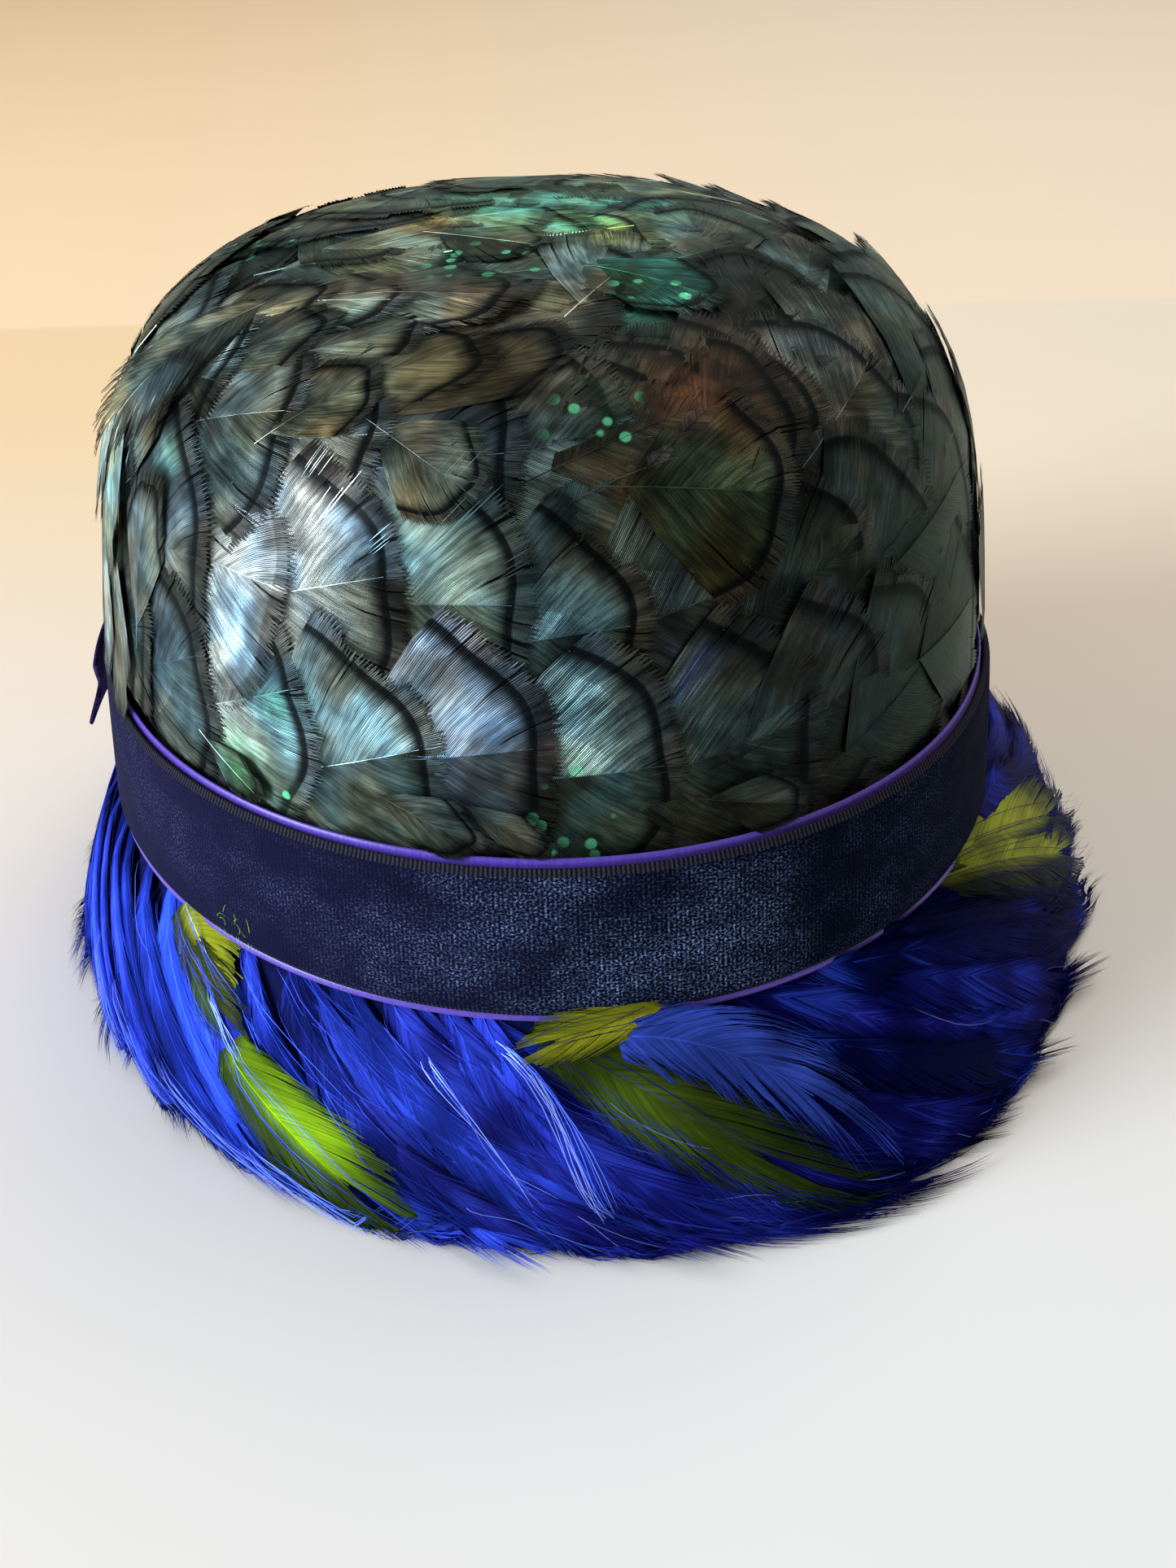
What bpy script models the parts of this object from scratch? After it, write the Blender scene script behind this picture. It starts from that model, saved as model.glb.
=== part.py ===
"""Feather cloche hat: a boxy felt dome in a skin of overlapping dark feathers,
a velvet band over a picot-edged ribbon, a bow at the back left, and a steep
brim of swirling plumes. Units are metres, +Z is up, -Y is the side that the
hat shows. The origin is on the table, under the middle of the brim."""

from math import atan2, ceil, cos, hypot, pi, radians, sin, sqrt

import bmesh
import bpy
from mathutils import Vector

NAME = "feather_cloche_hat"

# Head oval: the crown stands a little to one side of the brim's middle.
HEAD_CENTRE = Vector((-0.0065, 0.0, 0.0))
OVAL_RATIO = 1.077
LONG_AXIS = radians(108.0)

# Band zone, measured on the outside of the velvet.
BAND_FOOT_Z = 0.0394
BAND_FOOT_RADIUS = 0.0970
BAND_WIDTH = 0.0284
BAND_HEAD_RADIUS = 0.0942
BAND_HEAD_Z = BAND_FOOT_Z + BAND_WIDTH

# Outline of the feathered dome above the band.
CROWN_TOP_Z = 0.1489
CROWN_HEIGHT_POWER = 3.22
CROWN_RADIUS_POWER = 3.26
CROWN_TAPER = 0.041

# Walls and the clearances between them.
GAP = 0.0003
FELT = 0.0020
VELVET = 0.0012
RIBBON = 0.0010
RIBBON_ABOVE = 0.0030
RIBBON_BELOW = 0.0010
BASE_INSET = VELVET + RIBBON + 2 * GAP
SEAM_GAP = 0.0004

# Columns round the turned pieces, and the angle that keeps an edge sharp.
COLUMNS = 48
BAND_COLUMNS = 72
MERGE_DISTANCE = 0.00005
SHARP_ANGLE = radians(35.0)

# Shares of the dome's outline where both the felt and the skin's back have a ring,
# and the one where the felt tip is sewn to the felt side.
DOME_SHARES = (0.025, 0.14, 0.28, 0.40, 0.50, 0.60, 0.72, 0.86, 1.0)
TIP_SEAM_SHARE = 0.40
SKIN_FOOT_SHARE = 0.032

# Feather skin of the dome, in rows from the ribbon to the top. Each feather
# has a column at each U from its base to its tip, and a ring at each V.
SKIN_THIN = 0.0009
SKIN_LIFT = BASE_INSET - GAP - SKIN_THIN
TIP_BULGE = 0.14
ROW_STEP = 0.008
FEATHER_U = (0.02, 0.36, 0.70, 0.95)
FEATHER_V = (
    # place across the row, share of the lift
    (0.0, 0.75),
    (0.5, 1.00),
    (1.0, 0.30),
)
CROWN_ROWS = (
    # start and end along the outline, feathers in the row, stagger in feathers
    (0.00, 0.17, 18, 0.00),
    (0.17, 0.34, 18, 0.45),
    (0.34, 0.51, 18, 0.10),
    (0.51, 0.67, 15, 0.55),
    (0.67, 0.83, 10, 0.20),
    (0.83, 0.97, 5, 0.60),
)

# Brim: straight lines from the head oval to the edge, bowed out a little.
BRIM_HEAD_RADIUS = 0.0940
BRIM_HEAD_Z = 0.0379
BRIM_BOW = 0.0020
BRIM_WALL = 0.0024
BRIM_SHARES = (0.0, 0.31, 0.62, 0.93)
BRIM_EDGE = (
    # azimuth in degrees, reach from the head's centre and lift of the edge in mm
    (0.0, 125.8, 7.2),
    (30.0, 128.5, 15.3),
    (60.0, 127.0, 13.4),
    (90.0, 124.0, 4.0),
    (120.0, 120.0, 0.0),
    (150.0, 115.0, 0.0),
    (180.0, 112.3, 0.0),
    (210.0, 112.2, 0.0),
    (240.0, 116.8, 0.0),
    (270.0, 123.0, 0.0),
    (300.0, 128.0, 0.0),
    (330.0, 124.3, 0.0),
)
EDGE_BACK = 0.0065

# Plumes of the brim: each lock sweeps round as it falls, and ends in a point.
LOCKS = 32
LOCK_SWEEP = radians(29.0)
LOCK_RHYTHM = 2.4
PLUME_GAP = 0.00045
PLUME_THIN = 0.0014
PLUME_LIFT = 0.0024
TIP_REACH = 0.0055
TIP_VARIATION = 0.45
TIPS_FROM = 0.74
LOCK_PROFILE = (
    # share of the lift and share of the tip's reach, across one lock
    (0.10, 0.00),
    (0.60, 0.45),
    (1.00, 1.00),
    (0.75, 0.40),
)
LOCK_STATIONS = (
    # place along the lock, share of the lift
    (0.00, 0.25),
    (0.22, 0.80),
    (0.48, 1.00),
    (TIPS_FROM, 0.85),
    (1.00, 0.45),
)

# Bow: its pieces lie on the velvet, measured along, out from and up the band.
BOW_AZIMUTH = radians(158.0)
BOW_Z = 0.0540
KNOT_SIZE = (0.0140, 0.0086, 0.0220)
KNOT_BEVEL = 0.0026
BOW_WALL = 0.0012
LOOP_ROWS = (
    # along from the knot, stand-off, height above the bow's middle, half width in mm
    (0.6, 1.1, 0.0, 7.0),
    (8.0, 1.0, 0.0, 9.5),
    (16.0, 1.0, 0.0, 11.5),
    (20.5, 1.6, 0.0, 12.0),
    (22.0, 3.1, 0.0, 12.0),
    (20.5, 4.6, 0.0, 12.0),
    (16.0, 5.0, 0.0, 11.5),
    (8.0, 4.9, 0.0, 9.5),
    (0.6, 4.6, 0.0, 7.0),
)
BACK_LOOP_STRETCH = 1.35
FRONT_LOOP_STRETCH = 0.80
TAIL_ROWS = (
    # along from the knot, stand-off, height above the bow's middle, half width, twist in mm
    (0.6, 6.9, 0.0, 6.0, 0.0),
    (7.0, 7.4, -1.0, 7.5, 0.4),
    (14.0, 7.9, -3.0, 8.8, 1.0),
    (21.0, 8.1, -5.5, 9.8, 1.8),
    (28.0, 8.2, -8.5, 10.5, 2.6),
)
TAIL_NOTCH = 0.0050
TAIL_LEAN = 0.35


def clear_scene():
    """Remove whatever objects the opened file holds."""
    for thing in list(bpy.data.objects):
        bpy.data.objects.remove(thing, do_unlink=True)


def material(name, colour, roughness, metallic=0.0):
    """A plain Principled material."""
    made = bpy.data.materials.new(name)
    made.use_nodes = True
    shader = made.node_tree.nodes["Principled BSDF"]
    shader.inputs["Base Color"].default_value = (*colour, 1.0)
    shader.inputs["Roughness"].default_value = roughness
    shader.inputs["Metallic"].default_value = metallic
    made.diffuse_color = (*colour, 1.0)
    return made


def add_mesh(name, bm, look, collection):
    """Turn a bmesh into a named object whose faces point outward."""
    bmesh.ops.recalc_face_normals(bm, faces=bm.faces)
    mesh = bpy.data.meshes.new(name)
    bm.to_mesh(mesh)
    bm.free()
    mesh.shade_smooth()
    mesh.set_sharp_from_angle(angle=SHARP_ANGLE)
    mesh.materials.append(look)
    made = bpy.data.objects.new(name, mesh)
    collection.objects.link(made)
    return made


def head_point(turn, radius, z):
    """The point of an oval ring round the head at one turn."""
    around = turn - LONG_AXIS
    along = radius * sqrt(OVAL_RATIO) * cos(around)
    across = radius / sqrt(OVAL_RATIO) * sin(around)
    x = along * cos(LONG_AXIS) - across * sin(LONG_AXIS)
    y = along * sin(LONG_AXIS) + across * cos(LONG_AXIS)
    return HEAD_CENTRE + Vector((x, y, z))


def band_radius(z):
    """Radius of the velvet's outside at one height."""
    share = (z - BAND_FOOT_Z) / BAND_WIDTH
    return BAND_FOOT_RADIUS + share * (BAND_HEAD_RADIUS - BAND_FOOT_RADIUS)


def dome_outline(samples=240):
    """Radius and height of the feathered dome, from the band to the top."""
    points = []
    for step in range(samples + 1):
        angle = 0.5 * pi * step / samples
        rise = sin(angle) ** (2.0 / CROWN_HEIGHT_POWER)
        reach = max(cos(angle), 0.0) ** (2.0 / CROWN_RADIUS_POWER)
        taper = 1.0 - 4.0 * CROWN_TAPER * rise * (1.0 - rise)
        z = BAND_HEAD_Z + rise * (CROWN_TOP_Z - BAND_HEAD_Z)
        points.append((BAND_HEAD_RADIUS * reach * taper, z))
    points[-1] = (0.0, CROWN_TOP_Z)
    return points


def place_on(points, share):
    """Point and outward direction at a share of an outline's length."""
    lengths = [0.0]
    for first, second in zip(points, points[1:]):
        step = hypot(second[0] - first[0], second[1] - first[1])
        lengths.append(lengths[-1] + step)
    wanted = share * lengths[-1]
    index = 1
    while index < len(points) - 1 and lengths[index] < wanted:
        index += 1
    start, end = points[index - 1], points[index]
    span = lengths[index] - lengths[index - 1]
    part = (wanted - lengths[index - 1]) / span
    radius = start[0] + part * (end[0] - start[0])
    z = start[1] + part * (end[1] - start[1])
    near = points[max(index - 4, 0)]
    far = points[min(index + 3, len(points) - 1)]
    slope = atan2(far[1] - near[1], far[0] - near[0])
    return radius, z, sin(slope), -cos(slope)


def inset_outline(inset, shares):
    """The dome's outline moved inward, as radius and height at each share."""
    outline = dome_outline()
    moved = []
    for share in shares:
        radius, z, out_r, out_z = place_on(outline, share)
        if share >= 1.0:
            moved.append((0.0, CROWN_TOP_Z - inset))
        else:
            moved.append((max(radius - inset * out_r, 0.0), z - inset * out_z))
    return moved


def turned(name, profile, columns, look, collection):
    """Turn a closed wall profile into an oval ring or dome."""
    mesh = bpy.data.meshes.new(name)
    count = len(profile)
    touches_axis = profile[0][0] == 0.0 and profile[-1][0] == 0.0
    edges = [(i, i + 1) for i in range(count - 1)]
    if not touches_axis:
        edges.append((count - 1, 0))
    mesh.from_pydata([(radius, 0.0, z) for radius, z in profile], edges, [])
    mesh.materials.append(look)
    made = bpy.data.objects.new(name, mesh)
    collection.objects.link(made)
    screw = made.modifiers.new("turn", "SCREW")
    screw.steps = columns
    screw.render_steps = columns
    screw.use_merge_vertices = True
    screw.merge_threshold = MERGE_DISTANCE
    screw.use_smooth_shade = True
    made.location = HEAD_CENTRE
    made.rotation_euler = (0.0, 0.0, LONG_AXIS)
    made.scale = (sqrt(OVAL_RATIO), 1.0 / sqrt(OVAL_RATIO), 1.0)
    return made


def wall_profile(foot_z, head_z, outset, thickness):
    """Closed section of a straight wall that lies a set way in from the velvet."""
    outer_foot = band_radius(foot_z) - outset
    outer_head = band_radius(head_z) - outset
    return [
        (outer_head, head_z),
        (outer_foot, foot_z),
        (outer_foot - thickness, foot_z),
        (outer_head - thickness, head_z),
    ]


def make_crown_side(look, collection):
    """Felt side of the dome, from the brim's seam to the tip's."""
    foot_z = BRIM_HEAD_Z + SEAM_GAP
    shares = [share for share in DOME_SHARES if share <= TIP_SEAM_SHARE]
    outer = [(band_radius(foot_z) - BASE_INSET, foot_z)]
    outer += inset_outline(BASE_INSET, shares)
    inner = [(outer[0][0] - FELT, foot_z)]
    inner += inset_outline(BASE_INSET + FELT, shares)
    profile = list(reversed(outer)) + inner
    return turned("crown_side", profile, COLUMNS, look, collection)


def make_crown_tip(look, collection):
    """Felt tip of the dome, which closes it above the side."""
    outline = dome_outline()
    length = sum(hypot(b[0] - a[0], b[1] - a[1]) for a, b in zip(outline, outline[1:]))
    shares = [TIP_SEAM_SHARE + SEAM_GAP / length]
    shares += [share for share in DOME_SHARES if share > TIP_SEAM_SHARE]
    outer = inset_outline(BASE_INSET, shares)
    inner = inset_outline(BASE_INSET + FELT, shares)
    profile = list(reversed(outer)) + inner
    return turned("crown_tip", profile, COLUMNS, look, collection)


def ring_of(bm, points):
    """Add one closed ring of (turn, place) pairs and keep the turns."""
    return [(turn, bm.verts.new(place)) for turn, place in points]


def turn_at(ring, index):
    """Turn of a ring's vertex, counted on past a full circle."""
    return ring[index % len(ring)][0] + 2.0 * pi * (index // len(ring))


def zip_rings(bm, lower, upper):
    """Join two closed rings that may differ in their number of vertices."""
    low = high = 0
    while low < len(lower) or high < len(upper):
        here = lower[low % len(lower)][1]
        above = upper[high % len(upper)][1]
        low_next = turn_at(lower, low + 1) <= turn_at(upper, high + 1)
        if high == len(upper) or (low < len(lower) and low_next):
            low += 1
            bm.faces.new((here, lower[low % len(lower)][1], above))
        else:
            high += 1
            bm.faces.new((here, upper[high % len(upper)][1], above))


def cap_ring(bm, ring, place):
    """Close a ring with a fan to one point."""
    top = bm.verts.new(place)
    for (_, first), (_, second) in zip(ring, ring[1:] + ring[:1]):
        bm.faces.new((first, second, top))


def even_turns(count):
    """Turns of evenly spaced columns, in step with the turned pieces."""
    return [LONG_AXIS + 2.0 * pi * step / count for step in range(count)]


def feather_ring(row, across, lift):
    """One ring of the feather skin: thin at each base, lifted at each tip."""
    start, end, feathers, stagger = row
    share = start + across * (end - start - ROW_STEP)
    radius, z, out_r, out_z = place_on(dome_outline(), share)
    bulge = TIP_BULGE * 4.0 * across * (1.0 - across)
    pitch = 2.0 * pi / feathers
    points = []
    for feather in range(feathers):
        for place in FEATHER_U:
            turn = LONG_AXIS + pitch * (feather + place + bulge + stagger - 0.5)
            inset = SKIN_LIFT * (1.0 - place * lift)
            points.append((turn, head_point(turn, radius - inset * out_r, z - inset * out_z)))
    return points


def make_crown_feathers(look, collection):
    """Skin of overlapping feathers, whose tips point round the dome."""
    bm = bmesh.new()
    outer = []
    for row in CROWN_ROWS:
        for across, lift in FEATHER_V:
            points = feather_ring(row, across, lift)
            outer.append(ring_of(bm, points))
    foot_z = BAND_HEAD_Z + RIBBON_ABOVE + GAP
    for _, vertex in outer[0]:
        vertex.co.z = foot_z
    back_shares = (SKIN_FOOT_SHARE,) + DOME_SHARES[1:-1]
    inner = []
    for radius, z in inset_outline(BASE_INSET - GAP, back_shares):
        places = [(turn, head_point(turn, radius, z)) for turn in even_turns(COLUMNS)]
        inner.append(ring_of(bm, places))
    for _, vertex in inner[0]:
        vertex.co.z = foot_z
    for rings in (outer, inner):
        for lower, upper in zip(rings, rings[1:]):
            zip_rings(bm, lower, upper)
    zip_rings(bm, inner[0], outer[0])
    cap_ring(bm, outer[-1], head_point(0.0, 0.0, CROWN_TOP_Z))
    cap_ring(bm, inner[-1], head_point(0.0, 0.0, CROWN_TOP_Z - BASE_INSET + GAP))
    return add_mesh("crown_feathers", bm, look, collection)


def edge_at(turn):
    """Reach and lift of the brim's edge, smoothly between the table's rows."""
    count = len(BRIM_EDGE)
    place = (turn / (2.0 * pi) * count) % count
    row = int(place)
    part = place - row
    values = []
    for column in (1, 2):
        before, first, second, after = (BRIM_EDGE[(row + k) % count][column] for k in (-1, 0, 1, 2))
        rise = 0.5 * (second - before)
        fall = 0.5 * (after - first)
        square, cube = part ** 2, part ** 3
        values.append(
            (2.0 * cube - 3.0 * square + 1.0) * first
            + (cube - 2.0 * square + part) * rise
            + (3.0 * square - 2.0 * cube) * second
            + (cube - square) * fall
        )
    reach, lift = values
    return reach / 1000.0, max(lift, 0.0) / 1000.0


def brim_point(turn, share, outset):
    """Point of the brim's felt surface, moved outward on the level."""
    reach, lift = edge_at(turn)
    head = head_point(turn, BRIM_HEAD_RADIUS, BRIM_HEAD_Z)
    outward = Vector((cos(turn), sin(turn), 0.0))
    edge = HEAD_CENTRE + outward * (reach - EDGE_BACK)
    edge.z = lift
    bow = BRIM_BOW * 4.0 * share * (1.0 - share)
    return head.lerp(edge, share) + outward * (outset + bow)


def make_brim_base(look, collection):
    """Steep felt brim below the dome's seam."""
    bm = bmesh.new()
    walls = []
    for outset in (0.0, -BRIM_WALL):
        rings = []
        for share in BRIM_SHARES:
            points = [(t, brim_point(t, share, outset)) for t in even_turns(COLUMNS)]
            rings.append(ring_of(bm, points))
        walls.append(rings)
        for upper, lower in zip(rings, rings[1:]):
            zip_rings(bm, lower, upper)
    zip_rings(bm, walls[0][0], walls[1][0])
    zip_rings(bm, walls[0][-1], walls[1][-1])
    return add_mesh("brim_base", bm, look, collection)


def lock_ring(share, lift):
    """One ring across all the locks, swept round by its place along them."""
    points = []
    tips = max(share - TIPS_FROM, 0.0) / (1.0 - TIPS_FROM)
    for lock in range(LOCKS):
        length = 1.0 - TIP_VARIATION * sin(LOCK_RHYTHM * lock) ** 2
        for column, (height, reach) in enumerate(LOCK_PROFILE):
            place = (lock + column / len(LOCK_PROFILE)) / LOCKS
            turn = LONG_AXIS + 2.0 * pi * place + LOCK_SWEEP * share
            outset = PLUME_GAP + PLUME_THIN + PLUME_LIFT * height * lift
            outset += TIP_REACH * reach * tips * length
            points.append((turn, brim_point(turn, share, outset)))
    return points


def make_brim_plumes(look, collection):
    """Locks of plumes fused to a backing that reaches the table."""
    bm = bmesh.new()
    outer = [ring_of(bm, lock_ring(share, lift)) for share, lift in LOCK_STATIONS]
    inner = []
    for share in BRIM_SHARES + (1.0,):
        places = [(t, brim_point(t, share, PLUME_GAP)) for t in even_turns(COLUMNS)]
        inner.append(ring_of(bm, places))
    for rings in (outer, inner):
        for upper, lower in zip(rings, rings[1:]):
            zip_rings(bm, align_ring(lower, upper), upper)
    zip_rings(bm, inner[0], align_ring(outer[0], inner[0]))
    zip_rings(bm, inner[-1], align_ring(outer[-1], inner[-1]))
    return add_mesh("brim_plumes", bm, look, collection)


def align_ring(ring, other):
    """Start a ring at its vertex nearest to the other ring's first turn."""
    pitch = 2.0 * pi / len(ring)
    steps = ceil((ring[0][0] - other[0][0]) / pitch - 0.5)
    steps %= len(ring)
    turned_ring = []
    for index in range(len(ring)):
        turn, vertex = ring[(index - steps) % len(ring)]
        wanted = other[0][0] + index * pitch
        turn -= 2.0 * pi * round((turn - wanted) / (2.0 * pi))
        turned_ring.append((turn, vertex))
    return turned_ring


def on_band(along, stand_off, height):
    """Point beside the velvet: along it from the bow, out from it, and up."""
    z = BOW_Z + height
    radius = band_radius(z)
    turn = BOW_AZIMUTH + along / radius
    outward = Vector((cos(turn), sin(turn), 0.0))
    return head_point(turn, radius, z) + outward * (GAP + stand_off)


def make_knot(look, collection):
    """Wrapped knot in the middle of the bow."""
    bpy.ops.mesh.primitive_cube_add(size=1.0)
    knot = bpy.context.active_object
    knot.name = "bow_knot"
    knot.data.name = "bow_knot"
    for vertex in knot.data.vertices:
        vertex.co = Vector([a * b for a, b in zip(vertex.co, KNOT_SIZE)])
    knot.location = on_band(0.0, 0.5 * KNOT_SIZE[1], 0.0)
    band_lean = atan2(BAND_FOOT_RADIUS - BAND_HEAD_RADIUS, BAND_WIDTH)
    knot.rotation_euler = (band_lean, 0.0, BOW_AZIMUTH - 0.5 * pi)
    bevel = knot.modifiers.new("round", "BEVEL")
    bevel.width = KNOT_BEVEL
    bevel.segments = 2
    knot.data.materials.append(look)
    knot.data.shade_smooth()
    for home in list(knot.users_collection):
        home.objects.unlink(knot)
    collection.objects.link(knot)
    return knot


def make_strip(name, stations, closed, look, collection):
    """A band of velvet through rows of three points, given its thickness."""
    bm = bmesh.new()
    rows = [[bm.verts.new(point) for point in station] for station in stations]
    pairs = list(zip(rows, rows[1:]))
    if closed:
        pairs.append((rows[-1], rows[0]))
    for first, second in pairs:
        for a, b, c, d in zip(first, first[1:], second[1:], second):
            bm.faces.new((a, b, c, d))
    made = add_mesh(name, bm, look, collection)
    solid = made.modifiers.new("thickness", "SOLIDIFY")
    solid.thickness = BOW_WALL
    solid.offset = 0.0
    solid.use_even_offset = True
    return made


def make_loop(name, side, stretch, look, collection):
    """One flattened loop of the bow, open above and below."""
    stations = []
    for along, stand_off, height, half in LOOP_ROWS:
        place = side * (0.5 * KNOT_SIZE[0] + stretch * along / 1000.0 + GAP)
        out = stand_off / 1000.0
        levels = [(height + half * k) / 1000.0 for k in (-1.0, 0.0, 1.0)]
        stations.append([on_band(place, out, level) for level in levels])
    return make_strip(name, stations, True, look, collection)


def make_tail(look, collection):
    """Notched tail that hangs from the knot towards the hat's left side."""
    stations = []
    for index, (along, stand_off, height, half, twist) in enumerate(TAIL_ROWS):
        last = index == len(TAIL_ROWS) - 1
        station = []
        for side in (-1.0, 0.0, 1.0):
            lean = TAIL_LEAN * side * half if index > 1 else 0.0
            notch = 1000.0 * TAIL_NOTCH if last and side == 0.0 else 0.0
            place = 0.5 * KNOT_SIZE[0] + (along - notch + lean) / 1000.0 + GAP
            out = (stand_off - twist * side) / 1000.0
            station.append(on_band(place, out, (height + side * half) / 1000.0))
        stations.append(station)
    return make_strip("bow_tail", stations, False, look, collection)


def main():
    clear_scene()
    collection = bpy.data.collections.new(NAME)
    bpy.context.scene.collection.children.link(collection)

    felt = material("black_felt", (0.012, 0.011, 0.014), 0.90)
    dark_feather = material("dark_feather", (0.020, 0.032, 0.034), 0.38)
    blue_plume = material("blue_plume", (0.012, 0.030, 0.300), 0.55)
    violet_satin = material("violet_satin", (0.110, 0.050, 0.420), 0.35)
    navy_velvet = material("navy_velvet", (0.008, 0.008, 0.030), 0.85)
    bow_velvet = material("purple_velvet", (0.022, 0.010, 0.050), 0.85)

    make_crown_side(felt, collection)
    make_crown_tip(felt, collection)
    make_crown_feathers(dark_feather, collection)
    make_brim_base(felt, collection)
    make_brim_plumes(blue_plume, collection)

    ribbon_foot = BAND_FOOT_Z - RIBBON_BELOW
    ribbon_head = BAND_HEAD_Z + RIBBON_ABOVE
    ribbon = wall_profile(ribbon_foot, ribbon_head, VELVET + GAP, RIBBON)
    turned("violet_ribbon", ribbon, BAND_COLUMNS, violet_satin, collection)
    velvet = wall_profile(BAND_FOOT_Z, BAND_HEAD_Z, 0.0, VELVET)
    turned("velvet_band", velvet, BAND_COLUMNS, navy_velvet, collection)

    make_knot(bow_velvet, collection)
    make_loop("bow_loop_front", 1.0, FRONT_LOOP_STRETCH, bow_velvet, collection)
    make_loop("bow_loop_back", -1.0, BACK_LOOP_STRETCH, bow_velvet, collection)
    make_tail(bow_velvet, collection)


main()
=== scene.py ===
# %% [markdown]
# # A feather cloche hat
#
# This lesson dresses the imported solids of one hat. It is a tall boxy dome that is skinned with
# dark iridescent feathers, with a velvet band over a violet ribbon, a bow at the back left and
# a steep brim of blue and lime plumes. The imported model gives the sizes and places, and each
# cell makes one piece or one finish round it. Lengths are in metres where nothing else is said.

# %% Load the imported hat
from math import cos, pi, radians, sin, sqrt

import bpy
import numpy as np
from mathutils import Matrix, Vector


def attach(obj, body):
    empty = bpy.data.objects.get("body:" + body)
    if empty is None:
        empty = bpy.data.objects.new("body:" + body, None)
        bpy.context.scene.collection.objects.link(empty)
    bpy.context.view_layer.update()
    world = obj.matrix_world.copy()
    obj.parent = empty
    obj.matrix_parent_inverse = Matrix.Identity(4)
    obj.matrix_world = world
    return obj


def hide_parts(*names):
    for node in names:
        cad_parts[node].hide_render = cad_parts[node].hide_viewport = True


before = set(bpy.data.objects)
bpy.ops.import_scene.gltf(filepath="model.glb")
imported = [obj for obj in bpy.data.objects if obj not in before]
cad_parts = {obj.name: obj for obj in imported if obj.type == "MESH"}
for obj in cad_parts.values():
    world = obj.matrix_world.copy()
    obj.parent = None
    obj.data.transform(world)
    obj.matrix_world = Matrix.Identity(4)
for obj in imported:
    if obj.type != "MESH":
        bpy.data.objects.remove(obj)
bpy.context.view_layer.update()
bpy.ops.object.select_all(action="DESELECT")
MM = 0.001
print("nodes:", sorted(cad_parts))

# %% [markdown]
# ## Camera
#
# The photograph looks down at the hat from the front, from about elbow height. The camera's
# place, tilt and lens were fitted to the band's two edges and the outlines of crown and brim.
# A camera could also be aimed with a Track To constraint, but a matrix keeps the small roll.

# %% Put the camera where the photographer stood
CAMERA_PLACE = (-0.0035, -0.30008, 0.2186)
PITCH, YAW, ROLL = 0.5834, 0.0188, 0.0214
PHOTO_LONG_SIDE = 1927
FOCAL_PIXELS = 1900
SENSOR = 36.0


def add_object(name, data):
    """A new object at the origin, in the scene."""
    made = bpy.data.objects.new(name, data)
    bpy.context.scene.collection.objects.link(made)
    return made


def camera_matrix(place, pitch, yaw, roll):
    """The matrix of a camera that looks along +Y, then turned by three angles."""
    ahead = Vector((sin(yaw) * cos(pitch), cos(yaw) * cos(pitch), -sin(pitch)))
    right = Vector((cos(yaw), -sin(yaw), 0.0))
    up = Vector((sin(yaw) * sin(pitch), cos(yaw) * sin(pitch), cos(pitch)))
    across = cos(roll) * right - sin(roll) * up
    above = sin(roll) * right + cos(roll) * up
    made = Matrix((across, above, -ahead)).transposed().to_4x4()
    made.translation = place
    return made


camera_data = bpy.data.cameras.new("camera")
camera_data.sensor_fit = "AUTO"
camera_data.sensor_width = SENSOR
camera_data.lens = SENSOR * FOCAL_PIXELS / PHOTO_LONG_SIDE
camera_data.clip_start = 0.01
camera = add_object("camera", camera_data)
camera.matrix_world = camera_matrix(CAMERA_PLACE, PITCH, YAW, ROLL)
bpy.context.scene.camera = camera
print("lens:", round(camera_data.lens, 2), "mm")

# %% [markdown]
# ## Shader sums
#
# Blender's materials are graphs of nodes. Adding each Math node by hand is slow to read, so a
# small class wraps a node's output and lets plain Python sums add the nodes. Colours go
# through Mix nodes, because a Math node would turn them grey.


# %% A socket that adds up like a number
class Wire:
    """The output of a shader node, which can be used in sums."""

    tree = None

    def __init__(self, socket):
        self.socket = socket

    @classmethod
    def node(cls, kind, settings=None, sockets=None, out=0):
        """Add a node: its settings are set first, then its sockets get values or links."""
        made = cls.tree.nodes.new(kind)
        for name, value in (settings or {}).items():
            setattr(made, name, value)
        for name, value in (sockets or {}).items():
            if isinstance(value, Wire):
                cls.tree.links.new(value.socket, made.inputs[name])
            else:
                made.inputs[name].default_value = value
        return cls(made.outputs[out])

    def maths(self, operation, other=0.0, swap=False):
        pair = {0: other, 1: self} if swap else {0: self, 1: other}
        return Wire.node("ShaderNodeMath", {"operation": operation}, pair)

    def __add__(self, other):
        return self.maths("ADD", other)

    def __sub__(self, other):
        return self.maths("SUBTRACT", other)

    def __rsub__(self, other):
        return self.maths("SUBTRACT", other, swap=True)

    def __mul__(self, other):
        return self.maths("MULTIPLY", other)

    __radd__ = __add__
    __rmul__ = __mul__

    def step(self, low, high):
        """0 below low and 1 above high, with a smooth ramp between."""
        sockets = {0: self, 1: low, 2: high}
        return Wire.node("ShaderNodeMapRange", {"interpolation_type": "SMOOTHSTEP"}, sockets)

    def within(self, low, high, soft):
        """1 between low and high, and 0 outside, with soft borders."""
        return self.step(low - soft, low + soft) * (1.0 - self.step(high - soft, high + soft))


def mix(factor, first, second, blend="MIX"):
    """Mix two colours; each colour is a wire or three numbers."""
    colours = [c if isinstance(c, Wire) else (*c, 1.0) for c in (first, second)]
    settings = {"data_type": "RGBA", "blend_type": blend}
    return Wire.node("ShaderNodeMix", settings, {0: factor, 6: colours[0], 7: colours[1]}, out=2)


def object_place():
    return Wire.node("ShaderNodeTexCoord", out=3)


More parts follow.
